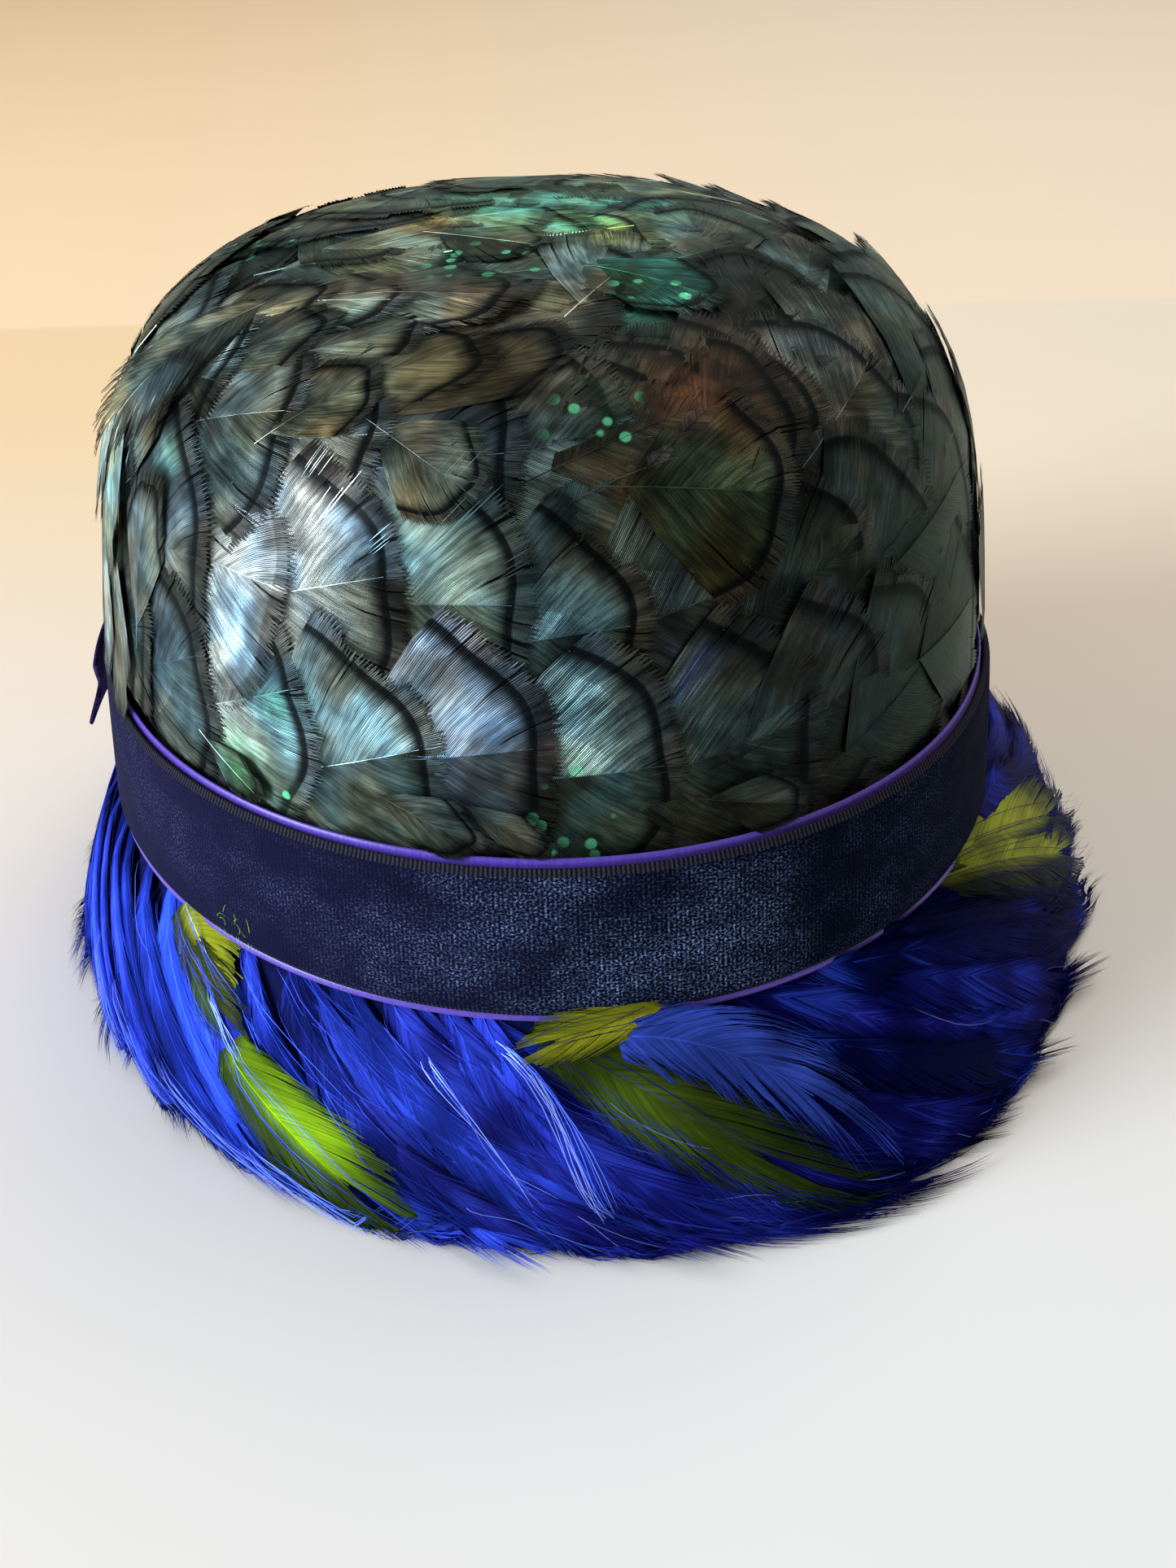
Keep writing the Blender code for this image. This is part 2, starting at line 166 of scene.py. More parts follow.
def noise(scale, detail=2.0, place=None, stretch=None, roughness=0.55):
    """Noise on Object coordinates, or on another place, with a stretch of its own."""
    place = place or object_place()
    if stretch:
        place = Wire.node("ShaderNodeMapping", None, {"Vector": place, "Scale": stretch})
    sockets = {"Vector": place, "Scale": scale, "Detail": detail, "Roughness": roughness}
    return Wire.node("ShaderNodeTexNoise", None, sockets)


def bump(height, distance, strength=1.0):
    return Wire.node(
        "ShaderNodeBump", None, {"Height": height, "Distance": distance, "Strength": strength}
    )


def new_look(name, make, **constants):
    """A Principled material: make() wires what varies, and the rest are constants."""
    made = bpy.data.materials.new(name)
    made.use_nodes = True
    Wire.tree = made.node_tree
    shader = made.node_tree.nodes["Principled BSDF"]
    for key, value in constants.items():
        shader.inputs[key.replace("_", " ")].default_value = value
    for key, wire in make().items():
        made.node_tree.links.new(wire.socket, shader.inputs[key])
    print("finish:", name, len(made.node_tree.nodes), "nodes")
    return made

# %% [markdown]
# ## Table and light
#
# The hat stands on a white table in front of cream. A wall would hide the hat from a camera
# behind it, so the cream is painted on the same floor and starts at a line behind the hat: from
# the photograph's camera it looks the same. Daylight comes from a large soft window at the left,
# a second soft light fills from above, and the room gives a warm light from all round.

# %% Floor, window and room
FLOOR_SIZE = 12.0
CREAM_FROM_Y, CREAM_EDGE = 0.438, 0.004
LIGHTS_AIM_Z = 0.06
WARM_ROOM, ROOM_STRENGTH = (1.0, 0.93, 0.86, 1.0), 0.33


def floor_finish():
    place = Wire.node("ShaderNodeSeparateXYZ", None, {0: object_place()})
    x, y = place, Wire(place.socket.node.outputs[1])
    white = mix(x.step(-0.14, 0.10), (0.80, 0.79, 0.78), (0.78, 0.80, 0.815))
    cream = mix(x.step(-0.28, 0.28), (0.88, 0.67, 0.40), (0.89, 0.80, 0.66))
    wall = mix(x.step(-0.50, 0.45), (0.96, 0.73, 0.45), (0.96, 0.82, 0.66))
    table = mix((y + x * 0.25).step(-0.15, 0.30), white, cream)
    grain = noise(9.0, 3.0) * 0.05 + 0.975
    colour = mix(y.step(CREAM_FROM_Y - CREAM_EDGE, CREAM_FROM_Y + CREAM_EDGE), table, wall)
    colour = mix(1.0, colour, mix(grain, (0.0, 0.0, 0.0), (1.0, 1.0, 1.0)), "MULTIPLY")
    return {"Base Color": colour, "Roughness": 0.45 + 0.1 * noise(40.0)}


bpy.ops.mesh.primitive_plane_add(size=FLOOR_SIZE)
floor = bpy.context.active_object
floor.name = "floor"
floor.data.materials.append(new_look("pale_floor", floor_finish, Specular_IOR_Level=0.3))


def area_light(name, azimuth, elevation, distance, size, power, colour):
    """A soft light that faces the hat from a direction given in degrees."""
    data = bpy.data.lights.new(name, "AREA")
    data.shape = "RECTANGLE"
    data.size, data.size_y = size
    data.energy = power
    data.color = colour
    lamp = add_object(name, data)
    turn, rise = radians(azimuth), radians(elevation)
    way = Vector((cos(turn) * cos(rise), sin(turn) * cos(rise), sin(rise)))
    lamp.location = Vector((0.0, 0.0, LIGHTS_AIM_Z)) + distance * way
    lamp.rotation_euler = way.to_track_quat("Z", "Y").to_euler()


area_light("window", 202.0, 17.0, 2.4, (1.15, 1.35), 95.0, (0.84, 0.92, 1.0))
area_light("room_fill", 48.0, 66.0, 3.4, (2.6, 2.6), 57.0, (1.0, 0.93, 0.84))
world = bpy.data.worlds.new("room")
world.use_nodes = True
background = world.node_tree.nodes["Background"]
background.inputs["Color"].default_value = WARM_ROOM
background.inputs["Strength"].default_value = ROOM_STRENGTH
bpy.context.scene.world = world
bpy.context.scene.view_settings.view_transform = "Standard"
print("stage:", floor.name, "and two soft lights")

# %% [markdown]
# ## The shape under the feathers
#
# Feathers lie on the felt, so each one needs to know where the felt is. The dome is an oval
# that was turned from one outline, so the same few sizes as in the solid give its surface as a
# formula. A Shrinkwrap modifier would also lay feathers on the felt, but a formula can lift
# each barb by its own tenth of a millimetre.

# %% Sizes of the head oval, the band and the dome
HEAD_CENTRE = np.array((-0.0065, 0.0, 0.0))
OVAL_RATIO = 1.077
LONG_AXIS = radians(108.0)
BAND_FOOT_Z, BAND_FOOT_RADIUS = 0.0394, 0.0970
BAND_HEAD_Z, BAND_HEAD_RADIUS = 0.0678, 0.0942
CROWN_TOP_Z = 0.1489
RIBBON_FOOT_Z, RIBBON_TOP_Z = 0.0384, 0.0689
FELT_INSET = 0.0028
DOME_RISE, DOME_REACH, DOME_TAPER = 2.0 / 3.22, 2.0 / 3.26, 0.041
WALL_FOOT_Z = 0.050
DOME_MIDDLE_Z = 0.075
TUCK_TOP_Z, TUCK_FADE, TUCKED_LIFT = 0.0694, 0.0030, 0.00012
LOWEST_FEATHER_Z = 0.0655
ALONG = np.array((cos(LONG_AXIS), sin(LONG_AXIS), 0.0))
ACROSS = np.array((-sin(LONG_AXIS), cos(LONG_AXIS), 0.0))
UP = np.array((0.0, 0.0, 1.0))
STRETCH = sqrt(OVAL_RATIO)


def band_radius(z):
    """The band is a cone: its radius at one height, before the oval."""
    share = (z - BAND_FOOT_Z) / (BAND_HEAD_Z - BAND_FOOT_Z)
    return BAND_FOOT_RADIUS + share * (BAND_HEAD_RADIUS - BAND_FOOT_RADIUS)


def head_point(turn, radius, z):
    """Points of oval rings round the head."""
    turn, radius, z = np.broadcast_arrays(turn, radius, z)
    along = (radius * STRETCH * np.cos(turn - LONG_AXIS))[..., None]
    across = (radius / STRETCH * np.sin(turn - LONG_AXIS))[..., None]
    return HEAD_CENTRE + along * ALONG + across * ACROSS + z[..., None] * UP


def felt_outline():
    """Length, radius and height of the felt's outline, from below the band's top up."""
    angle = np.linspace(0.0, 0.5 * pi, 900)
    rise = np.sin(angle) ** DOME_RISE
    reach = np.cos(angle).clip(0.0) ** DOME_REACH
    taper = 1.0 - 4.0 * DOME_TAPER * rise * (1.0 - rise)
    wall_z = np.linspace(WALL_FOOT_Z, BAND_HEAD_Z, 30)[:-1]
    radius = np.concatenate((band_radius(wall_z), BAND_HEAD_RADIUS * reach * taper))
    z = np.concatenate((wall_z, BAND_HEAD_Z + rise * (CROWN_TOP_Z - BAND_HEAD_Z)))
    steps = np.hypot(np.diff(radius), np.diff(z))
    length = np.concatenate(((0.0,), np.cumsum(steps)))
    length -= length[len(wall_z)]
    even = np.linspace(length[0], length[-1], 500)
    radius, z = np.interp(even, length, radius), np.interp(even, length, z)
    slope = np.arctan2(np.gradient(z), np.gradient(radius))
    return even, (radius - FELT_INSET * np.sin(slope)).clip(0.0), z + FELT_INSET * np.cos(slope)


OUTLINE, OUTLINE_RADIUS, OUTLINE_Z = felt_outline()
slope = np.arctan2(np.gradient(OUTLINE_Z), np.gradient(OUTLINE_RADIUS))
OUT_RADIAL, OUT_UP = np.sin(slope), -np.cos(slope)
TILTS = np.arctan2(OUTLINE_Z - DOME_MIDDLE_Z, OUTLINE_RADIUS)
print("outline:", round(1000 * OUTLINE[-1], 1), "mm from the band to the top")

# %% [markdown]
# Two functions do the laying. `dome_spot` gives a place on the felt with its three directions.
# `on_dome` takes any points near the felt, moves them onto it straight out from the dome's
# middle, and lifts them off it. Where feathers run down behind the ribbon, the lift fades.

# %% Find places on the dome
NUDGE = 1e-3


def felt_point(turn, length):
    """A place on the felt by its turn and its length up the outline from the band."""
    radius = np.interp(length, OUTLINE, OUTLINE_RADIUS)
    return head_point(turn, radius, np.interp(length, OUTLINE, OUTLINE_Z))


def unit(vectors):
    return vectors / np.linalg.norm(vectors, axis=-1, keepdims=True).clip(1e-12)


def dome_spot(turn, length):
    """A place on the felt, and the ways round the dome, up it and out of it."""
    place = felt_point(turn, length)
    way_round = unit(felt_point(turn + NUDGE, length) - place)
    way_up = unit(felt_point(turn, length + 0.1 * NUDGE) - place)
    return place, way_round, way_up, np.cross(way_round, way_up)


def on_dome(near, lift, over_ribbon=0.0):
    """Points on the felt straight out through the given ones, lifted off it."""
    flat = near - HEAD_CENTRE
    along, across = flat @ ALONG / STRETCH, flat @ ACROSS * STRETCH
    radial = np.hypot(along, across)
    tilt = np.arctan2(near[..., 2] - DOME_MIDDLE_Z, radial)
    z = np.interp(tilt, TILTS, OUTLINE_Z)
    low = np.clip((z - TUCK_TOP_Z) / TUCK_FADE, 0.0, 1.0)
    tucked = TUCKED_LIFT + (lift - TUCKED_LIFT) * low
    lift = np.where(over_ribbon > 0.0, lift, tucked)
    radius = np.interp(tilt, TILTS, OUTLINE_RADIUS) + lift * np.interp(tilt, TILTS, OUT_RADIAL)
    z = (z + lift * np.interp(tilt, TILTS, OUT_UP)).clip(LOWEST_FEATHER_Z)
    turn = np.arctan2(across, along) + LONG_AXIS
    return head_point(turn, radius, z)


print("a place in front, 50 mm up the felt:", dome_spot(radians(270.0), 50.0 * MM)[0].round(4))

# %% [markdown]
# ## Fan feathers
#
# The crown's feathers are short and fan-shaped. A fine shaft sends barbs out in a fan, and the
# free ends of the barbs make a fringe with splits in it. A flat card with a picture of a
# feather would be quicker, but its edge would be flat too. Here a grid becomes the vane: its
# columns are strips of barbs, the edges between them are split towards the tip, and the strips
# taper and part there. The next cell makes such a grid and says which strip owns each point.


# %% Split a grid into strips
def split_grid(columns, rows, splits):
    """A grid, split along the columns that splits names, each from a row to the top."""
    bpy.ops.mesh.primitive_grid_add(x_subdivisions=columns, y_subdivisions=rows, size=2.0)
    grid = bpy.context.active_object
    mesh = grid.data
    place = np.array([v.co[:2] for v in mesh.vertices])
    across = np.rint((place[:, 0] + 1.0) * 0.5 * columns).astype(int)
    up = np.rint((place[:, 1] + 1.0) * 0.5 * rows).astype(int)
    bpy.ops.object.mode_set(mode="EDIT")
    bpy.ops.mesh.select_all(action="DESELECT")
    bpy.ops.object.mode_set(mode="OBJECT")
    for edge in mesh.edges:
        a, b = edge.vertices
        column = across[a]
        inner = across[a] == across[b] and 0 < column < columns
        edge.select = bool(inner and min(up[a], up[b]) >= splits[column])
    bpy.ops.object.mode_set(mode="EDIT")
    # Blender starts in vertex select mode, so more edges than these are selected in the first
    # grid of all. One of the ten fan feathers has the extra splits.
    bpy.ops.mesh.select_mode(type="EDGE")
    bpy.ops.mesh.edge_split(type="EDGE")
    bpy.ops.object.mode_set(mode="OBJECT")
    place = np.array([v.co[:2] for v in mesh.vertices])
    faces = np.array([p.vertices[:] for p in mesh.polygons])
    column = np.rint((place[:, 0] + 1.0) * 0.5 * columns)
    row = np.rint((place[:, 1] + 1.0) * 0.5 * rows).astype(int)
    owner = np.floor(column[faces].mean(axis=1)).astype(int)
    strip = np.full(len(place), -1)
    shared = np.zeros(len(place), bool)
    for face, name in zip(faces, owner):
        shared[face] |= (strip[face] >= 0) & (strip[face] != name)
        strip[face] = name
    bpy.data.objects.remove(grid, do_unlink=True)
    return column, row, strip, shared, faces


def clumps(count, smallest, largest, rng):
    """Split strips into clumps, and return each strip's clump number."""
    sizes = []
    while sum(sizes) < count:
        sizes.append(int(rng.integers(smallest, largest + 1)))
    return np.repeat(np.arange(len(sizes)), sizes)[:count]


print("12 strips in clumps:", clumps(12, 2, 5, np.random.default_rng(1)))

# %% [markdown]
# The shaft is the stem in the middle of a feather. It could be a curve with a bevel, but two
# narrow strips that meet in a ridge look the same at this size and cost a tenth of the faces.
# Every part of a feather is kept as plain arrays, so that a copy is laid by moving numbers.


# %% Add a shaft and join the parts
def add_shaft(parts, length, width, height, stations=7, shade=1.5, from_tip=1.0):
    """A fine ridge along the middle of a feather."""
    x = np.linspace(0.0, length, stations)
    half = 0.5 * width * np.linspace(1.0, 0.3, stations)
    points = np.zeros((stations, 3, 3))
    points[:, :, 0] = x[:, None]
    points[:, 0, 1], points[:, 2, 1] = half, -half
    points[:, 1, 2] = height * np.linspace(1.0, 0.4, stations)
    index = np.arange(stations * 3).reshape(stations, 3)
    faces = []
    for side in (0, 1):
        a, b = index[:-1, side], index[:-1, side + 1]
        c, d = index[1:, side + 1], index[1:, side]
        faces.append(np.stack((a, b, c, d), axis=1))
    maps = np.zeros((stations * 3, 2))
    maps[:, 0] = from_tip
    shades = np.full(stations * 3, shade)
    parts.append((points.reshape(-1, 3), np.concatenate(faces), maps, shades))


def join_parts(parts):
    """Join several sets of points, faces, maps and shades into one."""
    points, faces, maps, shades = zip(*parts)
    starts = np.cumsum([0] + [len(each) for each in points])
    faces = [each + start for each, start in zip(faces, starts)]
    return [np.concatenate(each) for each in (points, faces, maps, shades)]


trial_shaft = []
add_shaft(trial_shaft, length=30.0, width=0.3, height=0.2)
print("a shaft has", len(join_parts(trial_shaft)[1]), "faces")

# %% [markdown]
# In a fan each barb leaves the shaft and ends on a wide arc. A few of them stand off the vane
# in groups and are painted lighter as glints. A bump map could hint at those, but it would not
# break the outline, so each is a thin blade of its own.

# %% Stand single barbs off the vane
FAN_LENGTH, FAN_ANGLE = 44.0, radians(47.0)
FAN_FOOT, FAN_REACH, FAN_WIDE = 0.26, 0.74, 0.71
SHAFT_TOP, SHAFT_FALL, SHAFT_POWER = 0.84, 0.60, 0.85


def fan_end(angle, arc):
    """Where a barb that leaves at an angle ends, on a wide arc from the feather's foot."""
    end_x = FAN_LENGTH * (FAN_FOOT + FAN_REACH * np.cos(angle) * arc)
    return end_x, FAN_LENGTH * FAN_WIDE * np.sin(angle) * arc


def add_glints(parts, rng):
    """Groups of single barbs that stand off the upper side, painted lighter as glints."""
    for group in range(int(rng.integers(1, 4))):
        middle, first = rng.uniform(0.15, 1.0), rng.uniform(0.48, 0.78)
        for barb in range(int(rng.integers(2, 6))):
            a = middle + 0.036 * barb + rng.normal(0.0, 0.012)
            start_x = FAN_LENGTH * max(SHAFT_TOP - SHAFT_FALL * a ** SHAFT_POWER, 0.05)
            angle = a * FAN_ANGLE
            reach = FAN_LENGTH * 0.73 * rng.uniform(0.92, 1.03)
            start = np.array((start_x, 0.0))
            end = np.array((FAN_LENGTH * FAN_FOOT + reach * cos(angle), reach * sin(angle)))
            side = np.array((end[1] - start[1], start[0] - end[0])) / np.hypot(*(end - start))
            low = first + rng.uniform(-0.06, 0.06)
            high = rng.uniform(max(low + 0.14, 0.82), 1.03)
            rows = []
            for share, half in zip(np.linspace(low, high, 4), (0.012, 0.055, 0.05, 0.010)):
                point = start + (end - start) * share
                lift = 0.18 + 0.9 * (share - low) * rng.uniform(0.5, 1.0)
                rows += [(*(point - half * side), lift), (*(point + half * side), lift)]
            faces = np.array(((1, 0, 2, 3), (3, 2, 4, 5), (5, 4, 6, 7)))
            maps = np.zeros((8, 2))
            maps[:, 0] = 0.3
            # A shade above 1 paints each barb lighter: a painted glint.
            parts.append((np.array(rows), faces, maps, np.full(8, rng.uniform(1.2, 2.8))))


print("the middle barb of a fan ends at", [round(float(end), 1) for end in fan_end(0.0, 1.0)], "mm")

# %% [markdown]
# Now the fan itself. Neighbours in a clump swing and lift together, and some strips are made
# narrow, sunk a little and painted near black as slits: painted shade for the gap under them.
# The upper half of a vane is painted lighter than its lower half, a painted sheen. One feather
# laid a hundred times would show its repeats, and a hundred different ones would take long, so
# ten kinds are modelled. The map on each vane counts the barbs across and the millimetres in
# from the tip.

# %% Bend the grids into fans
FAN_STRIPS, FAN_ROWS, FAN_SPREAD = 84, 5, 1.22
EDGE_ROWS = (8.5, 4.2, 1.9, 0.0)
BARBS_PER_FAN, MAP_SCALE = 165.0, 40.0
FAN_KINDS, FEATHER_SEED = 10, 7


def fan_feather(rng):
    """One fan feather in millimetres: points (along, across, lift), faces, map and shade."""
    clump = clumps(FAN_STRIPS, 5, 15, rng)
    count = clump[-1] + 1
    splits = np.full(FAN_STRIPS + 1, 4)
    for column in np.flatnonzero(np.diff(clump)) + 1:
        splits[column] = rng.choice((2, 3, 3))
    likely = np.where(np.arange(FAN_STRIPS) < FAN_STRIPS // 2, 1.0, 0.5)
    likely[:4] = likely[-4:] = 0.0
    slits = rng.choice(FAN_STRIPS, int(rng.integers(5, 12)), False, likely / likely.sum())
    slit = np.zeros(FAN_STRIPS, bool)
    slit[slits] = True
    for column in slits:
        splits[column] = splits[column + 1] = rng.choice((1, 2, 2, 3))
    column, row, strip, shared, faces = split_grid(FAN_STRIPS, FAN_ROWS, splits)
    taper = np.array((1.0, 1.0, 1.0, 1.0, 0.94, 0.16))[row]
    middle = strip + 0.5
    column = np.where(shared, column, middle + (column - middle) * taper)
    widths = np.where(slit, rng.uniform(0.30, 0.75, FAN_STRIPS), 1.0)
    widths *= rng.uniform(0.85, 1.15, FAN_STRIPS)
    places = np.concatenate(((0.0,), np.cumsum(widths))) / widths.sum()
    a = FAN_SPREAD * (2.0 * np.interp(column, np.arange(FAN_STRIPS + 1), places) - 1.0)
    number = clump[strip]
    swing = rng.normal(0.0, 0.35, count)
    shorter = rng.uniform(0.0, 0.02, count) + 0.05 * (rng.random(count) < 0.15)
    ragged = rng.uniform(0.0, 0.022, FAN_STRIPS)
    bent = np.abs(a).clip(0.0, 1.3)
    shaft_x = FAN_LENGTH * (SHAFT_TOP - SHAFT_FALL * bent ** SHAFT_POWER).clip(0.02)
    wave = 0.05 * np.sin(3.0 * a + rng.uniform(0.0, 6.0)) ** 2
    arc = 1.0 - shorter[number] - ragged[strip] - wave
    angle = a * FAN_ANGLE
    end_x, end_y = fan_end(angle, arc)
    even_x, even_y = fan_end(angle, 0.98 - wave)
    barb = np.hypot(end_x - shaft_x, end_y)
    from_tip = np.array((0.0, 0.0, *EDGE_ROWS))[row] / barb.clip(10.0)
    share = np.where(row < 2, 0.0, 1.0 - from_tip)
    share = np.where(row == 1, 0.5 * (1.0 - EDGE_ROWS[0] / barb.clip(10.0)), share)
    from_edge = np.hypot(even_x - shaft_x, even_y) - barb * share
    turn = np.radians(swing[number]) * share ** 1.5 * ~shared
    dx, dy = (end_x - shaft_x) * share, end_y * share
    bow = 0.055 * barb * np.sin(pi * share) * np.sign(a)
    way = np.arctan2(end_y, end_x - shaft_x)
    dx, dy = dx - np.abs(bow) * np.abs(np.sin(way)), dy + bow * np.cos(way)
    x = shaft_x + dx * np.cos(turn) - dy * np.sin(turn)
    y = dx * np.sin(turn) + dy * np.cos(turn)
    lift = rng.normal(0.0, 0.10, count)[number] * share * ~shared
    lift += rng.normal(0.0, 0.04, FAN_STRIPS)[strip] * share ** 2 * ~shared
    lift += rng.uniform(-0.2, 0.3, count)[number] * share ** 5
    lift -= 0.014 * np.abs(y) + 0.12 * (slit[strip] & ~shared)
    shade = 1.0 + rng.normal(0.0, 0.12, count)[number] + rng.normal(0.0, 0.10, FAN_STRIPS)[strip]
    shade = np.where(shared, 1.0 + rng.normal(0.0, 0.02, len(a)), shade)
    # The upper half is painted lighter and the lower half darker: a painted sheen along the barbs.
    upper, lower = rng.uniform(1.0, 1.25), rng.uniform(0.75, 1.05)
    shade *= np.where(a > 0.01, upper, np.where(a < -0.01, lower, 0.5 * (upper + lower)))
    # Slit strips are painted near black: painted shade for the gap under them.
    shade = np.where(slit[strip] & ~shared, 0.05, shade.clip(0.1))
    maps = np.stack((from_edge / MAP_SCALE, (a / FAN_SPREAD + 1.0) * 0.5 * BARBS_PER_FAN), axis=1)
    parts = [(np.stack((x, y, lift), axis=1), faces, maps, shade)]
    add_shaft(parts, 0.86 * FAN_LENGTH, 0.32, 0.20, shade=1.35, from_tip=0.35)
    if rng.random() < 0.65:
        add_glints(parts, rng)
    return join_parts(parts)


rng = np.random.default_rng(FEATHER_SEED)
fans = [fan_feather(rng) for _ in range(FAN_KINDS)]
print("fan feathers:", len(fans), "of", [len(fan[1]) for fan in fans], "faces")

# %% [markdown]
# ## Lay the feathers round the dome
#
# The milliner glued the feathers in rings, from the top down, each tip over the next feather's
# root. Lower rings lie over the ring above, so a feather is tilted: its upper side stands a
# little further off the felt. The sheen is blue-green here and bronze there. The silver where
# the window shines on it is a painted highlight, and the darker feathers at the right are
# painted shade. One texture could hold all that, but a few colours with a place and a reach
# are simpler to change: each feather mixes its dye and painted light from those near it, and
# small colour patches, silver painted highlights and green spots are painted over.

# %% Mix the dye and painted light of a place
CROWN_DYES_AND_LIGHT = (
    # turn, length up the outline and reach in mm, and the colour there, with painted sheen at the
    # left front and painted shade at the right
    (236, 46, 34, (0.124, 0.190, 0.232)),
    (252, 62, 22, (0.190, 0.250, 0.268)),
    (262, 22, 22, (0.066, 0.108, 0.118)),
    (275, 40, 24, (0.038, 0.062, 0.062)),
    (285, 60, 20, (0.030, 0.038, 0.028)),
    (312, 82, 18, (0.140, 0.162, 0.160)),
    (268, 82, 14, (0.100, 0.126, 0.106)),
    (228, 78, 16, (0.170, 0.230, 0.220)),
    (35, 142, 20, (0.540, 0.740, 0.580)),
    (300, 134, 12, (0.240, 0.320, 0.250)),
    (243, 8, 14, (0.210, 0.300, 0.310)),
    (262, 7, 13, (0.120, 0.170, 0.170)),
    (273, 24, 9, (0.030, 0.055, 0.058)),
    (245, 42, 10, (0.200, 0.290, 0.330)),
    (296, 70, 12, (0.036, 0.028, 0.021)),
    (300, 30, 30, (0.020, 0.030, 0.027)),
    (330, 40, 45, (0.014, 0.022, 0.022)),
    (20, 60, 60, (0.046, 0.055, 0.054)),
    (90, 50, 60, (0.048, 0.058, 0.055)),
    (150, 50, 60, (0.040, 0.056, 0.063)),
    (200, 50, 36, (0.070, 0.096, 0.098)),
    (240, 92, 24, (0.118, 0.142, 0.120)),
    (220, 110, 26, (0.136, 0.162, 0.142)),
    (275, 95, 22, (0.064, 0.078, 0.060)),
    (60, 125, 24, (0.190, 0.280, 0.220)),
    (320, 110, 24, (0.260, 0.330, 0.315)),
)
COLOUR_AND_HIGHLIGHT_PATCHES = (
    # turn, length up the outline and reach in mm, and the colour of a small patch; the silver
    # ones at the left front are painted highlights
    (93, 146, 13.0, (0.30, 0.95, 0.60)),
    (150, 140, 6.0, (0.14, 0.50, 0.36)),
    (40, 140, 9.0, (0.14, 0.44, 0.36)),
    (316, 128, 6.0, (0.95, 1.00, 0.12)),
    (326, 132, 5.0, (0.14, 1.00, 0.42)),
    (304, 132, 5.5, (0.10, 0.85, 0.62)),
    (6, 123, 8.0, (0.13, 0.42, 0.34)),
    (304, 111, 6.0, (0.06, 0.28, 0.20)),
    (291, 98, 4.0, (0.07, 0.28, 0.20)),
    (198, 127, 5.0, (1.00, 0.58, 0.16)),
    (187, 85, 4.0, (0.50, 0.38, 0.22)),
    (290, 77, 5.5, (0.080, 0.038, 0.023)),
    (298, 71, 5.5, (0.080, 0.038, 0.023)),
    (292, 61, 6.0, (0.034, 0.042, 0.020)),
    (260, 68, 3.0, (0.15, 0.13, 0.085)),
    (235, 70, 3.2, (0.15, 0.135, 0.09)),
    (233, 7, 5.0, (0.08, 0.30, 0.19)),
    (238, 22, 4.0, (0.07, 0.24, 0.16)),
    (217, 56, 4.0, (0.14, 0.34, 0.30)),
    (239, 56, 7.0, (0.40, 0.49, 0.58)),
    (235, 45, 6.0, (0.40, 0.50, 0.60)),
    (233, 33, 7.5, (0.42, 0.52, 0.62)),
    (229, 20, 5.0, (0.30, 0.40, 0.48)),
    (247, 60, 5.0, (0.32, 0.37, 0.42)),
    (243, 40, 5.0, (0.28, 0.36, 0.42)),
    (254, 30, 5.0, (0.13, 0.19, 0.21)),
    (222, 46, 4.5, (0.30, 0.38, 0.42)),
    (286, 32, 2.4, (0.03, 0.06, 0.34)),
)
SPOT_PATCHES = (
    # turn, length and reach in mm of the places where feathers have green spots
    (181, 98, 13.0), (253, 115, 12.0), (262, 118, 10.0), (277, 75, 8.5), (237, 5, 8.0),
    (273, 8, 10.0), (299, 104, 9.5), (290, 92, 5.0),
)
DYE_SPREAD, CHANNEL_SPREAD = 0.24, 0.05


def reaches(points, turn, length, reach):
    """How far points are from a place on the crown, as a share of a patch's reach."""
    spot = felt_point(radians(turn), length * MM)
    return np.linalg.norm(points - spot, axis=-1) / (reach * MM)


def dye_and_light_at(place, rng):
    """The dye of a feather by its place, with painted sheen and shade, mixed from patches round it.
    """
    total, mixed = 1e-9, np.zeros(3)
    for *patch, colour in CROWN_DYES_AND_LIGHT:
        weight = np.exp(-reaches(place, *patch) ** 2)
        total += weight
        mixed += weight * np.array(colour)
    mixed = mixed / total
    spread = 1.0 + rng.normal(0.0, DYE_SPREAD)
    return mixed * spread * (1.0 + rng.normal(0.0, CHANNEL_SPREAD, 3))


def painted(points, colours, spots):
    """Paint colour patches, silver painted highlights and the spotted places onto a laid feather.
    """
    for *patch, colour in COLOUR_AND_HIGHLIGHT_PATCHES:
        weight = np.exp(-reaches(points, *patch) ** 2)[:, None]
        colours = colours + (np.array(colour) - colours) * weight
    spots = np.full(len(points), float(spots))
    for patch in SPOT_PATCHES:
        near = (3.0 - 3.0 * reaches(points, *patch)).clip(0.0, 1.0)
        spots = np.where(near > 0.0, np.maximum(spots, near), spots)
    return colours, spots


print("crown colours:", len(CROWN_DYES_AND_LIGHT), "dyes and", len(COLOUR_AND_HIGHLIGHT_PATCHES), "small patches")

# %% [markdown]
# A ring is a row of turns with a little disorder in each number. The rings are even, so the
# feathers that break the rule on the real crown are listed one by one after them: bronze ones
# in front, long narrow ones at the left shoulder, and short ones that lap over the ribbon.

# %% Lay the rings of feathers
CROWN_ROWS = (
    # length up the outline, feathers, first turn, heading up from level in degrees
    (132.0, 8, 20.0, 8.0),
    (113.0, 15, 5.0, 10.0),
    (91.0, 21, 9.0, 12.0),
    (67.0, 25, 8.2, 12.0),
    (42.0, 26, 7.7, 13.0),
    (17.5, 26, 10.6, 10.0),
)
LOOSE_ROW, PLAIN = 80.0, -1.0
SIDE_LIFT, TOP_LIFT, TOP_FROM, TOP_FADE = 1.5, 1.6, 88.0, 30.0
FAN_LEAN, FAN_PITCH, FAN_MIDDLE, LEAST_LIFT = 0.020, 0.016, 0.55, 0.0002
# The lower half of a fan is painted darker and warmer: painted shade.
LOWER_HALF_SHADE = np.array((0.98, 0.94, 0.78))
laid = []


